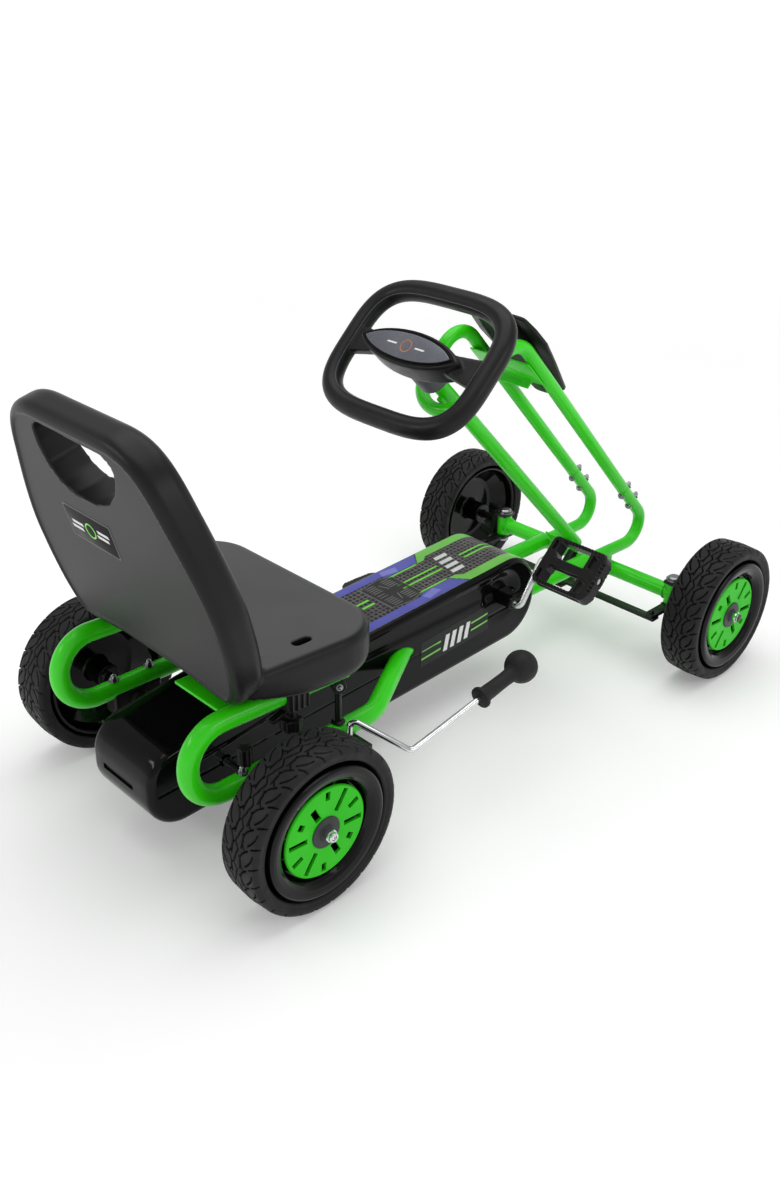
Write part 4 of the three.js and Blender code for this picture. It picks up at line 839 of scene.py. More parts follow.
def seat_clamp(side, sign):
    """Saddle over the upper run with ribs, a bolt below it and a lobed knob."""
    x, z = sign * LOWER_RUN_X, upper_run_z(CLAMP_Y)
    body = cuboid(34, 32, 34, (x, CLAMP_Y, z - 2), 4)
    ribs = [cuboid(36, 3, 30, (x, CLAMP_Y + step, z - 3), 1) for step in (-12, -4, 4, 12)]
    knob = moved(star(14, -8, 8), x, CLAMP_Y, z - 44)
    stem = bar((x, CLAMP_Y, z - 40), (x, CLAMP_Y, z - 16), 5, 24)
    hinge = Matrix.Translation((x - sign * 4, CLAMP_Y + 2, z - 25))
    lever = placed(cuboid(11, 30, 6, (0, 12, 0), 2), hinge @ Matrix.Rotation(math.radians(-18), 4, "X"))
    obj = to_object(f"seat_clamp_{side}_form", joined(body, *ribs, knob, stem, lever))
    remeshed(obj, 0.9, 2)
    front, rear = CLAMP_Y - 40, CLAMP_Y + 40
    carved(obj, bar((x, front, upper_run_z(front)), (x, rear, upper_run_z(rear)), TUBE_RADIUS + 0.3, 40))
    shade(obj, 40)
    finished(obj, SATIN_BLACK, "seat", "black_moulding", f"seat_clamp_{side}")


def seat_strut(side, sign):
    """A rod from the lower to the upper run, with a foot, an eye at its top and a pin through the eye."""
    x, low, high = sign * LOWER_RUN_X, lower_run_z(STRUT_Y) + TUBE_RADIUS, upper_run_z(STRUT_Y) - TUBE_RADIUS
    rod = bar((x, STRUT_Y, low), (x, STRUT_Y, high), 4.2, 24)
    foot = lathe([(0, 0), (0, 8.5), (1.5, 8.5), (4, 6), (4, 0)], 32)
    strut = joined(rod, placed(foot, facing((x, STRUT_Y, low), (0, 0, 1))))
    piece(f"seat_strut_{side}_form", strut, BLACK_STEEL, "frame", "black_steel", f"seat_strut_{side}")
    profile = [(-8, 0), (-8, 7.6), (-6, 8.8), (6, 8.8), (8, 7.6), (8, 4.4), (6.5, 4), (6.5, 0)]
    eye = lathe(fillet(profile, 0.8), 40, closed=False)
    at = facing((x, STRUT_Y, high - 9), (sign, 0.5, 0.15))
    piece(f"strut_eye_{side}", placed(eye, at), SATIN_BLACK, "frame", "black_moulding")
    pin = placed(dome_nut(3.4, 4.5), at @ Matrix.Translation((6.3, 0, 0)))
    piece(f"strut_pin_{side}", pin, ZINC, "frame", "bright_steel")


def kingpin(side, sign):
    """A bolt through the beam's boss: a wide washer and a flat head on top, a nut below."""
    low, high = (corner.z * 1000 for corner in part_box(f"kingpin_{side}"))
    seat = high - 4.6
    head = [(seat, 0), (seat, 10), (high - 1.5, 10), (high, 7.5), (high, 0)]
    bolt = joined(moved(washer(12.5, 1.4, 40), high - 6), lathe(fillet(head, 1.2), 40),
                  hexagon_prism(9, low, low + 6), bar((low + 2, 0, 0), (high - 2, 0, 0), 5, 24))
    piece(f"kingpin_{side}_form", placed(bolt, facing((sign * KINGPIN_X, FRONT_AXLE_Y, 0), (0, 0, 1))),
          ZINC, "frame", "bright_steel", f"kingpin_{side}")


axle = bar(on_axle(-AXLE_END), on_axle(AXLE_END), AXLE_RADIUS, 32, 1.2)
piece("rear_axle_form", axle, CHROME, "rear_axle", "bright_steel", "rear_axle")
for side, sign in SIDES:
    softened(f"knuckle_{side}", 1.0, BLACK_STEEL, f"knuckle_{side}", "black_steel")
    sleeve = lathe(fillet([(50, 5.6), (50, 9.4), (84, 9), (86, 8), (86, 5.6)], 0.8, closed=True), 48)
    sleeve = placed(sleeve, facing(on_crank(0), (sign, 0, 0)))
    piece(f"crank_bearing_{side}_form", sleeve, GLOSS_BLACK, "frame", "black_moulding",
          f"crank_bearing_{side}")
    axle_bearing(side, sign)
    seat_clamp(side, sign)
    seat_strut(side, sign)
    kingpin(side, sign)
piece("axle_cover_knob", moved(star(9.5, -12, 12), -130, 411, 159), SATIN_BLACK, "frame", "black_moulding")
softened("track_rod", 0.8, BLACK_STEEL, "track_rod", "black_steel")
softened("steering_shaft", 0.8, BLACK_STEEL, "steering", "black_steel")

# ---------------------------------------------------------------- chain guard
GUARD_HALF_WIDTH, GUARD_EDGE, GUARD_WALL = 62, 10, 2.5
GUARD_FRONT_Y, GUARD_REAR_Y, GUARD_BEND_Y = -187, 497, 300
GUARD_ROW_POINTS, GUARD_SIDE_STEPS = 231, 64


def guard_top_z(y):
    return 196 - 0.062 * y


def guard_bottom_z(y):
    return 67 - 0.046 * y


def guard_rows():
    """Matching rows of points (y, z) along the guard's top and bottom, from the nose to the tail."""
    corners = [(GUARD_FRONT_Y, guard_bottom_z(GUARD_FRONT_Y)), (GUARD_REAR_Y, guard_bottom_z(GUARD_REAR_Y)),
               (GUARD_REAR_Y, 146), (GUARD_BEND_Y, guard_top_z(GUARD_BEND_Y)),
               (GUARD_FRONT_Y, guard_top_z(GUARD_FRONT_Y))]
    outline = fillet(corners, [60, 60, 42, 300, 62], closed=True, steps=40)[::-1]
    front = np.argmin(outline[:, 0] + abs(outline[:, 1] - 138) * 1e-3)
    rear = np.argmax(outline[:, 0] - abs(outline[:, 1] - 104) * 1e-3)
    loop = np.roll(outline, -front, axis=0)
    split = (rear - front) % len(outline)
    halves = [loop[:split + 1], np.vstack([loop[split:], loop[:1]])[::-1]]
    halves.sort(key=lambda half: -half[:, 1].mean())
    return [resampled(half, GUARD_ROW_POINTS) for half in halves]


def guard_relief(y, z):
    """How far the side face lies inside its flat plane: a channel, the crank's bowl, a seam and two ribs."""
    fall = 0.035 * (y - 50)
    channel = smooth_step(z, 151 - 0.02 * y, 165 - 0.02 * y) * (1 - smooth_step(z, 179 - fall, 184.5 - fall))
    channel *= smooth_step(y, -120, -84) * (1 - smooth_step(y, 250, 285))
    away = np.hypot(y - CRANK_Y, z - CRANK_Z)
    bowl = (0.8 + 9.5 * smooth_step(z, 146, 160)) * (1 - smooth_step(away, 24, 44))
    seam = 1.3 * np.exp(-(((z - 124 + 0.05 * y) / 0.9) ** 2))
    ribs = sum(-0.9 * np.exp(-(((z - height + 0.1165 * (y - 294)) / 0.8) ** 2)) for height in (141.5, 138.2))
    ribs = ribs * smooth_step(y, 275, 290) * (1 - smooth_step(y, 425, 440))
    return np.maximum(4.2 * channel, bowl) + seam + ribs


def guard_skin(inset):
    """The guard's outside, or its inside when inset is the wall's thickness."""
    top, bottom = guard_rows()
    loop = np.vstack([top, bottom[-2:0:-1]])
    normals = inward_normals(loop)
    edge, half_width = GUARD_EDGE - inset, GUARD_HALF_WIDTH - inset
    arc = [math.radians(90 * k / 5) for k in range(6)]
    levels = [(inset + edge * (1 - math.sin(a)), -half_width + edge * (1 - math.cos(a))) for a in arc]
    flat_x = np.linspace(-half_width + edge, half_width - edge, 9)[1:-1]
    levels += [(inset, x) for x in flat_x] + [(depth, -x) for depth, x in reversed(levels)]
    rings = [np.column_stack([np.full(len(loop), x), loop + normals * depth]) for depth, x in levels]
    points, faces = bridged(rings, caps=False)
    points = [points]
    start, count, step = len(points[0]), len(top), GUARD_SIDE_STEPS + 1
    for ring, sign in ((rings[0], -1), (rings[-1], 1)):
        flat = ring[:, 1:]
        upper, lower = flat[:count], np.vstack([flat[:1], flat[:count - 1:-1], flat[count - 1:count]])
        grid = np.stack([upper + (lower - upper) * k / GUARD_SIDE_STEPS for k in range(step)], 1)
        depth = guard_relief(grid[..., 0], grid[..., 1])
        depth[:, 0] = depth[:, -1] = 0
        points.append(np.concatenate([sign * (half_width - depth)[..., None], grid], 2).reshape(-1, 3))
        corners = [start + i * step + k for i in range(count - 1) for k in range(GUARD_SIDE_STEPS)]
        faces += [(a, a + 1, a + step + 1, a + step) for a in corners]
        start += count * step
    return np.vstack(points), faces


tube_ways = []
for sign in (1, -1):
    outlet = bent_route([(sign * MAIN_TUBE_X, 20, MAIN_TUBE_Z), (sign * MAIN_TUBE_X, 72, MAIN_TUBE_Z),
                         (sign * LOWER_RUN_X, LOWER_RUN_START_Y, MAIN_TUBE_Z)], [60])
    tube_ways.append(sweep(outlet, TUBE_RADIUS + 1.2, 32))
    tube_ways.append(bar((sign * MAIN_TUBE_X, -230, MAIN_TUBE_Z), (sign * MAIN_TUBE_X, -100, MAIN_TUBE_Z),
                         TUBE_RADIUS + 0.8, 40))
guard = to_object("chain_guard_form", guard_skin(0), 38)
guard_tree = BVHTree.FromObject(guard, bpy.context.evaluated_depsgraph_get())
carved(guard, guard_skin(GUARD_WALL), *tube_ways, bar(on_crank(-70), on_crank(70), 9.8, 40),
       bar(on_axle(-70), on_axle(70), 8.2, 32), cuboid(62, 14, 8, (6, 496, 99), 2))
shade(guard, 38)
finished(guard, GLOSS_BLACK, "frame", "gloss_black", "chain_guard_upper", "chain_guard_lower")
piece("guard_pull", cuboid(62, 7, 5, (6, 491, 97.4), 1.5), SATIN_BLACK, "frame", "gloss_black")


# ---------------------------------------------------------------- printed film on the guard
FILM_CELL = 6                         # size of the grid that a film is laid down with
NOSE_CENTRE, NOSE_RADIUS = (-125.0, 141.6), 62
NOSE_START_Y, NOSE_START_ANGLE = -128.8, math.radians(86.5)


def film_patch(corners, across, along):
    """Grid over a quadrilateral given in the film's own two coordinates."""
    a, b, c, d = (np.array(p, float) for p in corners)
    u = np.linspace(0, 1, along + 1)[:, None, None]
    v = np.linspace(0, 1, across + 1)[None, :, None]
    grid = (a * (1 - u) + b * u) * (1 - v) + (d * (1 - u) + c * u) * v
    count = across + 1
    faces = [(i * count + j, i * count + j + 1, (i + 1) * count + j + 1, (i + 1) * count + j)
             for i in range(along) for j in range(across)]
    return grid.reshape(-1, 2), faces


def on_guard(start, aim, lift):
    """Where a line from start meets the guard, lifted off its surface."""
    hit, normal, _, _ = guard_tree.ray_cast(Vector(metres(start)[0]), Vector(aim))
    return millimetres(hit + normal * lift / 1000)


def on_guard_top(flat, lift):
    """Lay film on the guard's top and over its nose: flat is (x, y), y measured along the surface."""
    points = []
    for x, y in flat:
        if y >= NOSE_START_Y:
            points.append(on_guard((x, y, 260), (0, 0, -1), lift))
        else:
            angle = NOSE_START_ANGLE - (NOSE_START_Y - y) / NOSE_RADIUS
            aim = np.array([0, math.cos(angle), -math.sin(angle)])
            points.append(on_guard((x, *NOSE_CENTRE) - 120 * aim, aim, lift))
    return np.array(points)


def on_guard_side(sign):
    """The same for one side face: flat is (y, z)."""
    return lambda flat, lift: np.array([on_guard((sign * 120, y, z), (-sign, 0, 0), lift) for y, z in flat])


def films(name, lay, quads, finish, lift):
    shapes = []
    for quad in quads:
        sizes = [np.linalg.norm(np.subtract(quad[i], quad[i - 1])) for i in range(4)]
        across, along = (max(2, int(max(sizes[i], sizes[i + 2]) / FILM_CELL)) for i in (0, 1))
        flat, faces = film_patch(quad, across, along)
        shapes.append((lay(flat, lift), faces))
    piece(name, joined(*shapes), finish, "frame", "gloss_black", smooth=60)


def mirrored(quads):
    return quads + [[(-x, y) for x, y in quad] for quad in quads]


def stripe(x, width, rear, front):
    return [(x - width / 2, rear), (x - width / 2, front), (x + width / 2, front), (x + width / 2, rear)]


films("top_film_dark", on_guard_top, [stripe(0, 110, 210, -174)], SPECKLE, 0.2)
films("top_film_purple", on_guard_top, mirrored([
    [(39, 210), (39, 36), (54, 36), (54, 210)], [(39, 36), (33, 27), (54, 27), (54, 36)],
    [(33, 27), (33, -27), (54, -43), (54, 27)]]), FILM_PURPLE, 0.4)
films("top_film_lilac", on_guard_top, mirrored([[(39.5, 34), (34, 8), (46, 3), (51, 30)]]), FILM_LILAC, 0.55)
films("top_film_green", on_guard_top, mirrored([
    [(30.5, -27), (30.5, -40), (55, -58), (54.5, -46)], [(30.5, -40), (38, -50), (55, -70), (55, -58)],
    [(38, -50), (38, -172), (55, -172), (55, -70)]]), FILM_GREEN, 0.4)
lines = [stripe(x * sign, width, rear, front) for x, width, rear, front in (
    (5.5, 3.4, 37, -41), (30, 3.0, 30, -24), (6, 4.0, 114, 92), (5, 3.4, -87, -150)) for sign in (1, -1)]
films("top_film_lines", on_guard_top, lines, FILM_LIME, 0.45)
vent = [[(-33, 84), (-38, 48), (38, 48), (33, 84)], [(-38, 48), (-31, 24), (31, 24), (38, 48)]]
films("top_film_vent_edge", on_guard_top, vent, FILM_EDGE, 0.35)
films("top_film_vent", on_guard_top, [[(x * 0.965, 54 + (y - 54) * 0.95) for x, y in quad] for quad in vent],
      FILM_DARK, 0.45)
louvres = [stripe(-29 + 4.6 * k, 1.9, 77 - rise, 61 - rise) for k in range(5) for rise in (0, 29)]
louvres += [stripe(-3, 1.6, 78, 64), [(-24, 57), (-8, 52), (-8, 50), (-24, 55)]]
films("top_film_louvres", on_guard_top, mirrored(louvres), FILM_EDGE, 0.55)
bars = [[(x + step, y - 0.2 * x) for step, y in ((0, -48), (0, -72), (8, -74), (8, -50))]
        for x in (-25, -11, 3, 17)]
films("top_film_bars", on_guard_top, bars, FILM_WHITE, 0.5)

SIDE_FALL = 0.09                      # the side prints sink towards the rear by this much per millimetre
for side, sign in SIDES:
    lay = on_guard_side(sign)
    films(f"side_film_panel_{side}", lay, [[(56, 99), (-82, 109), (-82, 150), (56, 138)]], FILM_SMOKE, 0.2)
    side_lines = [[(y, 122 - SIDE_FALL * y + rise + half) for y, half in
                   ((rear, -1.4), (front, -1.4), (front, 1.4), (rear, 1.4))]
                  for rear, front in ((55, 17), (-45, -80)) for rise in (-5.5, 6)]
    films(f"side_film_lines_{side}", lay, side_lines, FILM_GREEN, 0.4)
    side_bars = [[(y + lean, z - SIDE_FALL * y) for lean, z in ((0, 109), (-8, 109), (-13, 134), (-5, 134))]
                 for y in (12, -2, -16, -30)]
    films(f"side_film_bars_{side}", lay, side_bars, FILM_WHITE, 0.4)

# ---------------------------------------------------------------- crank, pedals and chain
CRANK_THROW, CRANK_LEAN, PEDAL_X = 76, math.radians(55.7), 150
CRANK_ARM_X, CRANK_RADIUS, SPINDLE_END_X = 98, 5, PEDAL_X + 47


def pedal_at(sign, x):
    """A point of the left (sign 1) or right spindle's axis."""
    return Vector((x, CRANK_Y + sign * CRANK_THROW * math.cos(CRANK_LEAN),
                   CRANK_Z - sign * CRANK_THROW * math.sin(CRANK_LEAN)))


crank_route = bent_route([
    pedal_at(1, SPINDLE_END_X), pedal_at(1, CRANK_ARM_X), on_crank(CRANK_ARM_X), on_crank(-CRANK_ARM_X),
    pedal_at(-1, -CRANK_ARM_X), pedal_at(-1, -SPINDLE_END_X)], [7, 7, 7, 7], 6)
piece("crank_form", sweep(crank_route, CRANK_RADIUS, 28), SILVER_CRANK, "crank", "bright_steel", "crank")
for node, body in (("chainwheel", "crank"), ("axle_sprocket", "rear_axle"), ("drive_chain", "frame")):
    softened(node, 0.4, CHAIN_STEEL, NODE_BODY[node], "chain_steel", 1, 60)

PEDAL_LENGTH, PEDAL_DEPTH, PEDAL_HEIGHT = 95, 74, 22
PEDAL_WINDOWS = (                     # corner radius and outline of the openings in one half
    (2, [(-28, 7), (19, 6), (19, 31.5), (-33, 31.5), (-33, 15)]),
    (1.5, [(24, 8), (35, 11), (35, 28), (24, 31.5)]),
    (1, [(-42, 14), (-37, 18), (-37, 31), (-42, 31)]),
)


def pedal_object(name):
    """A cage round a central barrel; its outer end points to +x."""
    half_x, half_y, half_z = PEDAL_LENGTH / 2, PEDAL_DEPTH / 2, PEDAL_HEIGHT / 2
    outline = [(-half_x, -half_y), (half_x - 6, -half_y), (half_x, -half_y + 12), (half_x, half_y - 12),
               (half_x - 6, half_y), (-half_x, half_y)]
    obj = to_object(name, slab(fillet(outline, [8, 9, 9, 9, 9, 8], closed=True), -half_z, half_z, 2, 3))
    windows, dips, teeth = [], [], []
    for y in (-1, 1):
        for radius, corners in PEDAL_WINDOWS:
            outline = fillet([(x, y * depth) for x, depth in corners], radius, closed=True)
            windows.append(slab(outline, -30, 30))
        dips.append(cuboid(74, 4, 8, (-4, y * half_y, 0)))
        for z in (-1, 1):
            dips.append(cuboid(50, 24, 7, (-6, y * 18, z * (half_z + 0.4))))
            teeth += [cuboid(2.4, 7, 5, (x, y * 35, z * half_z)) for x in np.arange(-36, 34, 5.5)]
            teeth += [cuboid(6, 2.6, 5, (half_x - 2, y * at, z * half_z)) for at in (3, 9, 15, 21)]
    carved(obj, joined(*windows), joined(*dips), joined(*teeth[::2]), joined(*teeth[1::2]),
           bar((-60, 0, 0), (60, 0, 0), CRANK_RADIUS + 0.5, 24))
    barrel = lathe([(-half_x - 1, 5.5), (-half_x - 1, 9.5), (-half_x + 9, 10.6), (-half_x + 12, 8.6),
                    (half_x - 12, 8.6), (half_x - 6, 10.4), (half_x, 10.4), (half_x, 5.5)], 32)
    carved(obj, barrel, operation="UNION")
    remeshed(obj, 0.8, 1)
    shade(obj, 50)
    return obj


PEDAL_TILTS = {"left": 0, "right": -math.pi / 4}
pedal_master = pedal_object("pedal_master")
at_origin(pedal_master)
for side, sign in SIDES:
    obj = in_scene(f"pedal_{side}_form", pedal_master.data)
    turn = Matrix.Rotation(PEDAL_TILTS[side], 4, "X") @ Matrix.Rotation(0 if sign > 0 else math.pi, 4, "Z")
    obj.matrix_world = in_part(Matrix.Translation(pedal_at(sign, sign * (PEDAL_X + 1.5))) @ turn)
    finished(obj, SATIN_BLACK, f"pedal_{side}", "black_moulding", f"pedal_{side}")
bpy.data.objects.remove(pedal_master)

# ---------------------------------------------------------------- steering wheel
RIM_HALF_WIDTH, RIM_HALF_HEIGHT, RIM_SQUARENESS, GRIP_RADIUS = 118, 91, 3.6, 14
RIM_POINTS = 180
HUB_LOW_Z, HUB_TOP_Z, BUSHING_RADIUS = -13, 23, 22
SPOKE_RISE = 0.126                    # the spokes climb towards the hub by this much per millimetre


def wheel_rim(grip=GRIP_RADIUS, offset=(0.0, 0.0), sides=28):
    """The grip along the rim's superellipse; offset moves it outwards and up the axis."""
    bend = lambda v: np.copysign(np.abs(v) ** (2 / RIM_SQUARENESS), v)
    around = np.linspace(0, 2 * math.pi, 4001)
    dense = np.column_stack([RIM_HALF_WIDTH * bend(np.cos(around)), RIM_HALF_HEIGHT * bend(np.sin(around))])
    line = resampled(dense, RIM_POINTS + 1)[:-1]
    outward = -inward_normals(line)
    rings = []
    for point, out in zip(line, outward):
        angles = 2 * math.pi * np.arange(sides) / sides
        flat = point + out * (offset[0] + grip * np.cos(angles))[:, None]
        rings.append(np.column_stack([flat, offset[1] + grip * np.sin(angles)]))
    return bridged(rings, closed_along=True)


def lens(half_length, half_height):
    """Outline of the hub: two shallow arcs that meet in rounded points."""
    arc = np.array([(-1, 0), (-0.62, -1.3), (0.62, -1.3), (1, 0)]) * (half_length, half_height)
    return np.vstack([bezier(arc, 47), bezier(-arc, 47)])


def band(outer, inner, low, high):
    """A flat ring between two outlines of the same number of points."""
    levels = ((outer, low), (outer, high), (inner, high), (inner, low))
    return bridged([np.column_stack([o, np.full(len(o), z)]) for o, z in levels], closed_along=True)


hub = slab(lens(86, 26), HUB_LOW_Z, HUB_TOP_Z, 4, 4)
stem = bar((0, 0, HUB_LOW_Z), (0, 0, 0), BUSHING_RADIUS, 48)
spokes = []
for sign in (1, -1):
    outline = fillet([(60, -13), (100, -19), (122, -24), (122, 24), (100, 19), (60, 13)], 8, closed=True)
    points, faces = slab(outline, -5.5, 9, 3.5, 4)
    points[:, 2] += SPOKE_RISE * (92 - points[:, 0])
    spokes.append((points * (sign, 1, 1), faces))
steering_wheel = to_object("steering_wheel_form", joined(wheel_rim(), hub, stem, *spokes))
remeshed(steering_wheel, 1.4, 5)
carved(steering_wheel, bar((0, 0, HUB_LOW_Z - 2), (0, 0, 9), 6.5, 32))
at_origin(steering_wheel)
steering_wheel.data.transform(in_part(STEER))
shade(steering_wheel, 60)
finished(steering_wheel, SATIN_BLACK, "steering", "satin_black", "steering_wheel")
# painted highlight: a thin grey line along the grip's upper inner shoulder stands for the light caught by the
# rim's ridge
seam = wheel_rim(0.5, (-10.4, 9.6), 8)
piece("steering_wheel_painted_highlight", steered(seam), GREY_PLASTIC, "steering", "satin_black")

plate = slab(lens(74, 18.5), HUB_TOP_Z - 0.4, HUB_TOP_Z + 2.9, 1.4, 4)
piece("hub_plate_form", steered(plate), PLATE_GREY, "steering", "grey_plastic", "hub_plate")
bezel = joined(band(lens(81, 22.5), lens(78.5, 21), HUB_TOP_Z - 0.5, HUB_TOP_Z + 0.9),
               band(lens(77, 20), lens(74.5, 18.7), HUB_TOP_Z - 0.5, HUB_TOP_Z + 2.2))
piece("hub_bezel", steered(bezel), GLOSS_BLACK, "steering", "satin_black", smooth=30)
MARK_LOW_Z, MARK_TOP_Z = HUB_TOP_Z + 2.55, HUB_TOP_Z + 3.05
ring = band(circle(9), circle(7.6), MARK_LOW_Z, MARK_TOP_Z)
piece("hub_mark_ring", steered(ring), FILM_COPPER, "steering", "grey_plastic")
marks = [slab([(x - 8, -1.1), (x + 8, -1.1), (x + 9.5, 1.1), (x - 6.5, 1.1)], MARK_LOW_Z, MARK_TOP_Z)
         for x in (-24, 24)]
piece("hub_mark_bars", steered(joined(*marks)), FILM_WHITE, "steering", "grey_plastic")
profile = [(-51.6, 6.6), (-51.6, 21.4), (-48, BUSHING_RADIUS), (-13.6, BUSHING_RADIUS), (-13.6, 6.6)]
bushing = lathe(fillet(profile, 1.2, closed=True), 64)
piece("column_bushing_form", steered(placed(bushing, facing((0, 0, 0), (0, 0, 1)))), GREY_PLASTIC,
      NODE_BODY["column_bushing"], "grey_plastic", "column_bushing")

# ---------------------------------------------------------------- seat
BACK_LEAN = math.radians(15.8)
BACK_FOOT = (0, 445, 262)
BACK_THICKNESS, BACK_HEIGHT = 45, 295
PANEL_Y = -2.4                        # how deep the back's rear panel lies inside its rim band
PAN_TOP_Z, ROOT_RADIUS = 280, 30
# The back's own frame: x across, z up the back, y out of its rear face; outlines are drawn in (x, z).
BACK = Matrix.Translation(BACK_FOOT) @ Matrix.Rotation(-BACK_LEAN, 4, "X")


def back_outline():
    knots = [(40, -17), (90, -17), (112, -26), (136, -25), (166, -23), (180, 28), (181, 88), (184, 130),
             (164, 182), (149, 222), (135, 262), (120, BACK_HEIGHT), (64, BACK_HEIGHT)]
    half = np.vstack([bezier(knots[i:i + 4]) for i in range(0, 12, 3)] + [knots[-1:]])
    return np.vstack([half, half[::-1] * (-1, 1)])


def upright(shape):
    return placed(shape, BACK @ UPRIGHT)


HANDLE = [(60, 277), (74, 268), (77, 246), (72, 222), (56, 203), (34, 195), (-6, 196), (-38, 207), (-60, 228),
          (-73, 250), (-75, 266), (-62, 275)]


def depth_inside(points):
    """How far each point (x, z) lies inside the back's outline."""
    outline = back_outline()
    gap = points[:, None] - outline[None]
    nearest = (gap ** 2).sum(-1).argmin(1)
    return (gap[np.arange(len(points)), nearest] * inward_normals(outline)[nearest]).sum(-1)


def seat_root():
    """The quarter round that fills the corner between the pan and the back."""
    front_y = (BACK @ Vector((0, -BACK_THICKNESS, 30))).y
    corner_y = front_y - ROOT_RADIUS - 4
    profile = [(corner_y, PAN_TOP_Z - 2)]
    profile += [(corner_y + ROOT_RADIUS * math.sin(a), PAN_TOP_Z + ROOT_RADIUS * (1 - math.cos(a)))
                for a in (math.radians(74 * k / 8) for k in range(9))]
    profile += [(front_y + 20, PAN_TOP_Z + 22), (front_y + 20, PAN_TOP_Z - 2)]
    return placed(slab(profile, -134, 134), SIDEWAYS)


def seat_object():
    """One moulded shell. Its mesh attribute "panel" says where the plastic is rough and painted paler as
    painted light: fully on the pan's top, and on the back's rear panel more towards the bottom.
    """
    corners = [(-174, 219), (174, 219), (160, 440), (-160, 440)]
    outline = fillet(corners, [66, 66, 30, 30], closed=True, steps=12)
    obj = to_object("seat_form", slab(outline, 219, PAN_TOP_Z, (24, 13), 8))
    profile = [(200, 214), (300, 214), (450, 259), (450, 300), (200, 300)]
    carved(obj, placed(slab(profile, -200, 200), SIDEWAYS), operation="INTERSECT")
    carved(obj, upright(slab(back_outline(), -BACK_THICKNESS, 0, (16, 13), 8)), operation="UNION")
    carved(obj, seat_root(), operation="UNION")
    pocket = cuboid(296, 262, 40, (0, 363, 213), 6)
    slots = [slab(fillet([(x - 6, 317), (x + 6, 317), (x + 6, 343), (x - 6, 343)], 5, closed=True), 200, 320)
             for x in (135, -135)]
    carved(obj, pocket, joined(*slots), upright(slab(fillet(HANDLE, 14, closed=True), -90, 40)))
    remeshed(obj, 2.0, 6)

    points = millimetres([v.co for v in obj.data.vertices])
    to_back = np.array(BACK.inverted(), float)
    local = points @ to_back[:3, :3].T + to_back[:3, 3]
    rear = np.flatnonzero((local[:, 1] > -6) & (local[:, 2] > -40))
    inward = depth_inside(local[rear][:, [0, 2]])
    y, height = local[rear, 1], local[rear, 2]
    on_face = smooth_step(y, -6, -1)
    even = np.where((inward > 15) & (y > -1.2), 0, y)          # takes the remesh's ripples out of the panel
    sunk = even + PANEL_Y * smooth_step(inward, 11, 15) * on_face
    points[rear] += (sunk - y)[:, None] * np.array(BACK, float)[:3, 1]
    obj.data.vertices.foreach_set("co", metres(points).astype(np.float32).ravel())
    # painted light: the pan's upward face gets the full paler colour for the light that falls on it from
    # above
    matt_and_painted_light = smooth_step(points[:, 2], PAN_TOP_Z - 2.5, PAN_TOP_Z - 0.4) * (local[:, 1] < -BACK_THICKNESS - 5)
    fade = 0.45 - 0.4 * np.clip(height / BACK_HEIGHT, 0, 1)    # painted light: the rear panel is painted paler towards the bottom and darker towards the top
    matt_and_painted_light[rear] = np.maximum(matt_and_painted_light[rear], fade * smooth_step(inward, 12, 17) * on_face)
    obj.data.attributes.new("panel", "FLOAT", "POINT").data.foreach_set("value", matt_and_painted_light.astype(np.float32))
    obj.data.update()
    return obj


seat = seat_object()
shade(seat, 70)
finished(seat, SEAT_PLASTIC, "seat", "satin_black", "seat")

BADGE_X, BADGE_Z = 32, 147.5
BADGE_WIDTH, BADGE_HEIGHT = 94, 44


def badge_plate(border, low, high):
    """A plate on the back's rear panel, smaller than the badge by the border."""
    x, z = BADGE_WIDTH / 2 - border, BADGE_HEIGHT / 2 - border
    outline = fillet([(-x, z), (x, z), (x, -z), (-x, -z)], 2.5, closed=True)
    return upright(moved(slab(outline, PANEL_Y + low, PANEL_Y + high, 0.3, 2), BADGE_X, BADGE_Z))


piece("seat_badge_edge", badge_plate(0, -1, 0.5), FILM_EDGE, "seat", "satin_black")
piece("seat_badge", badge_plate(1.2, -1, 0.8), FILM_BLACK, "seat", "satin_black")
badge_ring = band(circle(10), circle(8), PANEL_Y, PANEL_Y + 1.1)
piece("seat_badge_ring", upright(moved(badge_ring, BADGE_X, BADGE_Z)), FILM_LIME, "seat", "satin_black")
badge_bars = []
for left, rise in ((-39, 5), (-36, -2), (13, 2), (16, -5)):
    outline = np.array([(left, -1.9), (left + 22, -1.9), (left + 24, 1.9), (left + 2, 1.9)])
    badge_bars.append(moved(slab(outline, PANEL_Y, PANEL_Y + 1.0), BADGE_X, BADGE_Z + rise))
piece("seat_badge_bars", upright(joined(*badge_bars)), FILM_WHITE, "seat", "satin_black")

# ---------------------------------------------------------------- hand brake
BRAKE_PIVOT = Vector((-152, 272, 98))
BRAKE_ELBOW, GRIP_START = Vector((-214, 227, 121)), Vector((-214, 105, 144))
GRIP_BALL_RADIUS = 22
grip_axis = (GRIP_START - BRAKE_ELBOW).normalized()
lever = bent_route([(-230, 272, 98), BRAKE_PIVOT, (-151, 270, 156), BRAKE_ELBOW, GRIP_START + grip_axis * 50],
                   [8, 8, 9], 5)
piece("brake_lever_form", sweep(lever, 4, 24), CHROME, "brake", "bright_steel", "brake_lever")
grip_profile = [(-2, 4.4), (-2, 12.4), (-1, 14.4), (2.5, 14.6), (4.2, 13.4), (5.4, 11.2), (8, 10.5),
                (24, 10.0), (44, 9.6), (54, 10.0), (58, 11.2), (61.5, 14)]
grip_profile += [(78 + GRIP_BALL_RADIUS * math.cos(a), GRIP_BALL_RADIUS * math.sin(a))
                 for a in map(math.radians, range(140, -1, -10))]
grip_profile += [(54, 0), (54, 4.4)]
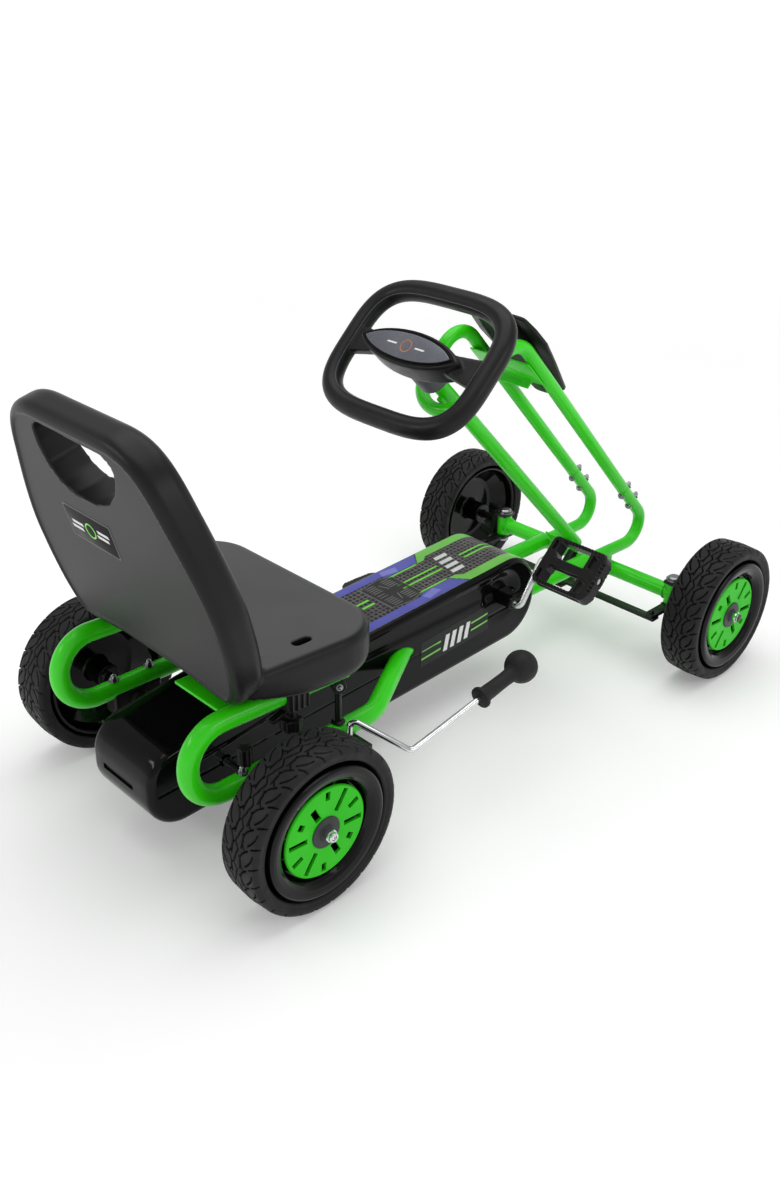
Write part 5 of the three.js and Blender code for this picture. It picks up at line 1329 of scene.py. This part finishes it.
piece("brake_grip_form", placed(lathe(grip_profile, 56), facing(GRIP_START, grip_axis)), BLACK_RUBBER,
      "brake", "black_rubber", "brake_grip")
shoe = joined(cuboid(22, 9, 24, (-206, 272.5, 106), 3), bar((-219, 272, 98), (-193, 272, 98), 8, 32, 1.5))
piece("brake_shoe_form", shoe, BLACK_RUBBER, "brake", "black_rubber", "brake_shoe")
softened("brake_pivot_clip", 1.0, BLACK_STEEL, "frame", "black_steel")

# ---------------------------------------------------------------- floor, light and camera
FLOOR_REACH = 60                      # metres, so that the floor's edge is lost in the white of the horizon
floor_mesh = bpy.data.meshes.new("floor")
corners = [(x * FLOOR_REACH, y * FLOOR_REACH, 0) for x, y in ((-1, -1), (1, -1), (1, 1), (-1, 1))]
floor_mesh.from_pydata(corners, [], [(0, 1, 2, 3)])
floor = in_scene("floor", floor_mesh)
floor.location.z = -0.0005
floor_finish = Finish("floor", (0.8, 0.9), specular=0.1).colour((0.86, 0.86, 0.86), (0.88, 0.88, 0.88), 2)
floor_finish.set("Emission Color", (1, 1, 1, 1))
away = floor_finish.node("ShaderNodeVectorMath", {0: floor_finish.coords}, operation="LENGTH")
floor_finish.link(floor_finish.ranged(away.outputs["Value"], 1.0, 4.0, 0.2, 0.62), "Emission Strength")
floor.data.materials.append(floor_finish.material)

HORIZON_TO_ZENITH = ((0.0, 1.0), (0.08, 0.72), (0.45, 0.5), (1.0, 0.5))
world = bpy.data.worlds.new("studio")
world.use_nodes = True
nodes, links = world.node_tree.nodes, world.node_tree.links
direction = nodes.new("ShaderNodeSeparateXYZ")
links.new(nodes.new("ShaderNodeTexCoord").outputs["Generated"], direction.inputs[0])
ramp = nodes.new("ShaderNodeValToRGB")
links.new(direction.outputs["Z"], ramp.inputs[0])
while len(ramp.color_ramp.elements) < len(HORIZON_TO_ZENITH):
    ramp.color_ramp.elements.new(0.5)
for element, (place, level) in zip(ramp.color_ramp.elements, HORIZON_TO_ZENITH):
    element.position, element.color = place, (level, level, level, 1)
links.new(ramp.outputs["Color"], nodes["Background"].inputs["Color"])
nodes["Background"].inputs["Strength"].default_value = 1.0
bpy.context.scene.world = world
bpy.context.scene.view_settings.view_transform = "Standard"


def softbox(name, at, target, size, power):
    lamp = bpy.data.lights.new(name, "AREA")
    lamp.shape, lamp.size, lamp.size_y, lamp.energy = "RECTANGLE", size[0], size[1], power
    obj = in_scene(name, lamp)
    obj.location = at
    obj.rotation_euler = (Vector(target) - Vector(at)).to_track_quat("-Z", "Y").to_euler()


softbox("overhead", (0.1, -0.1, 2.3), (0, 0, 0.2), (2.4, 2.4), 30)
softbox("behind", (0.9, 2.2, 1.5), (0, 0.2, 0.3), (1.5, 0.3), 9)
softbox("beside", (-2.3, -0.4, 1.5), (0, 0, 0.2), (1.5, 0.3), 8)

CAMERA_AT = Vector((-1.01959, 1.05613, 0.94590))
AZIMUTH, ELEVATION, ROLL = (math.radians(v) for v in (225.205, 27.936, 1.386))
back = Vector((math.sin(AZIMUTH) * math.cos(ELEVATION), -math.cos(AZIMUTH) * math.cos(ELEVATION),
               math.sin(ELEVATION)))
right = Vector((0, 0, 1)).cross(back).normalized()
up = back.cross(right)
right, up = right * math.cos(ROLL) + up * math.sin(ROLL), up * math.cos(ROLL) - right * math.sin(ROLL)
camera_data = bpy.data.cameras.new("camera")
camera_data.sensor_width, camera_data.lens = 36, 35.52
camera = in_scene("camera", camera_data)
camera.matrix_world = Matrix.Translation(CAMERA_AT) @ Matrix((right, up, back)).transposed().to_4x4()
bpy.context.scene.camera = camera
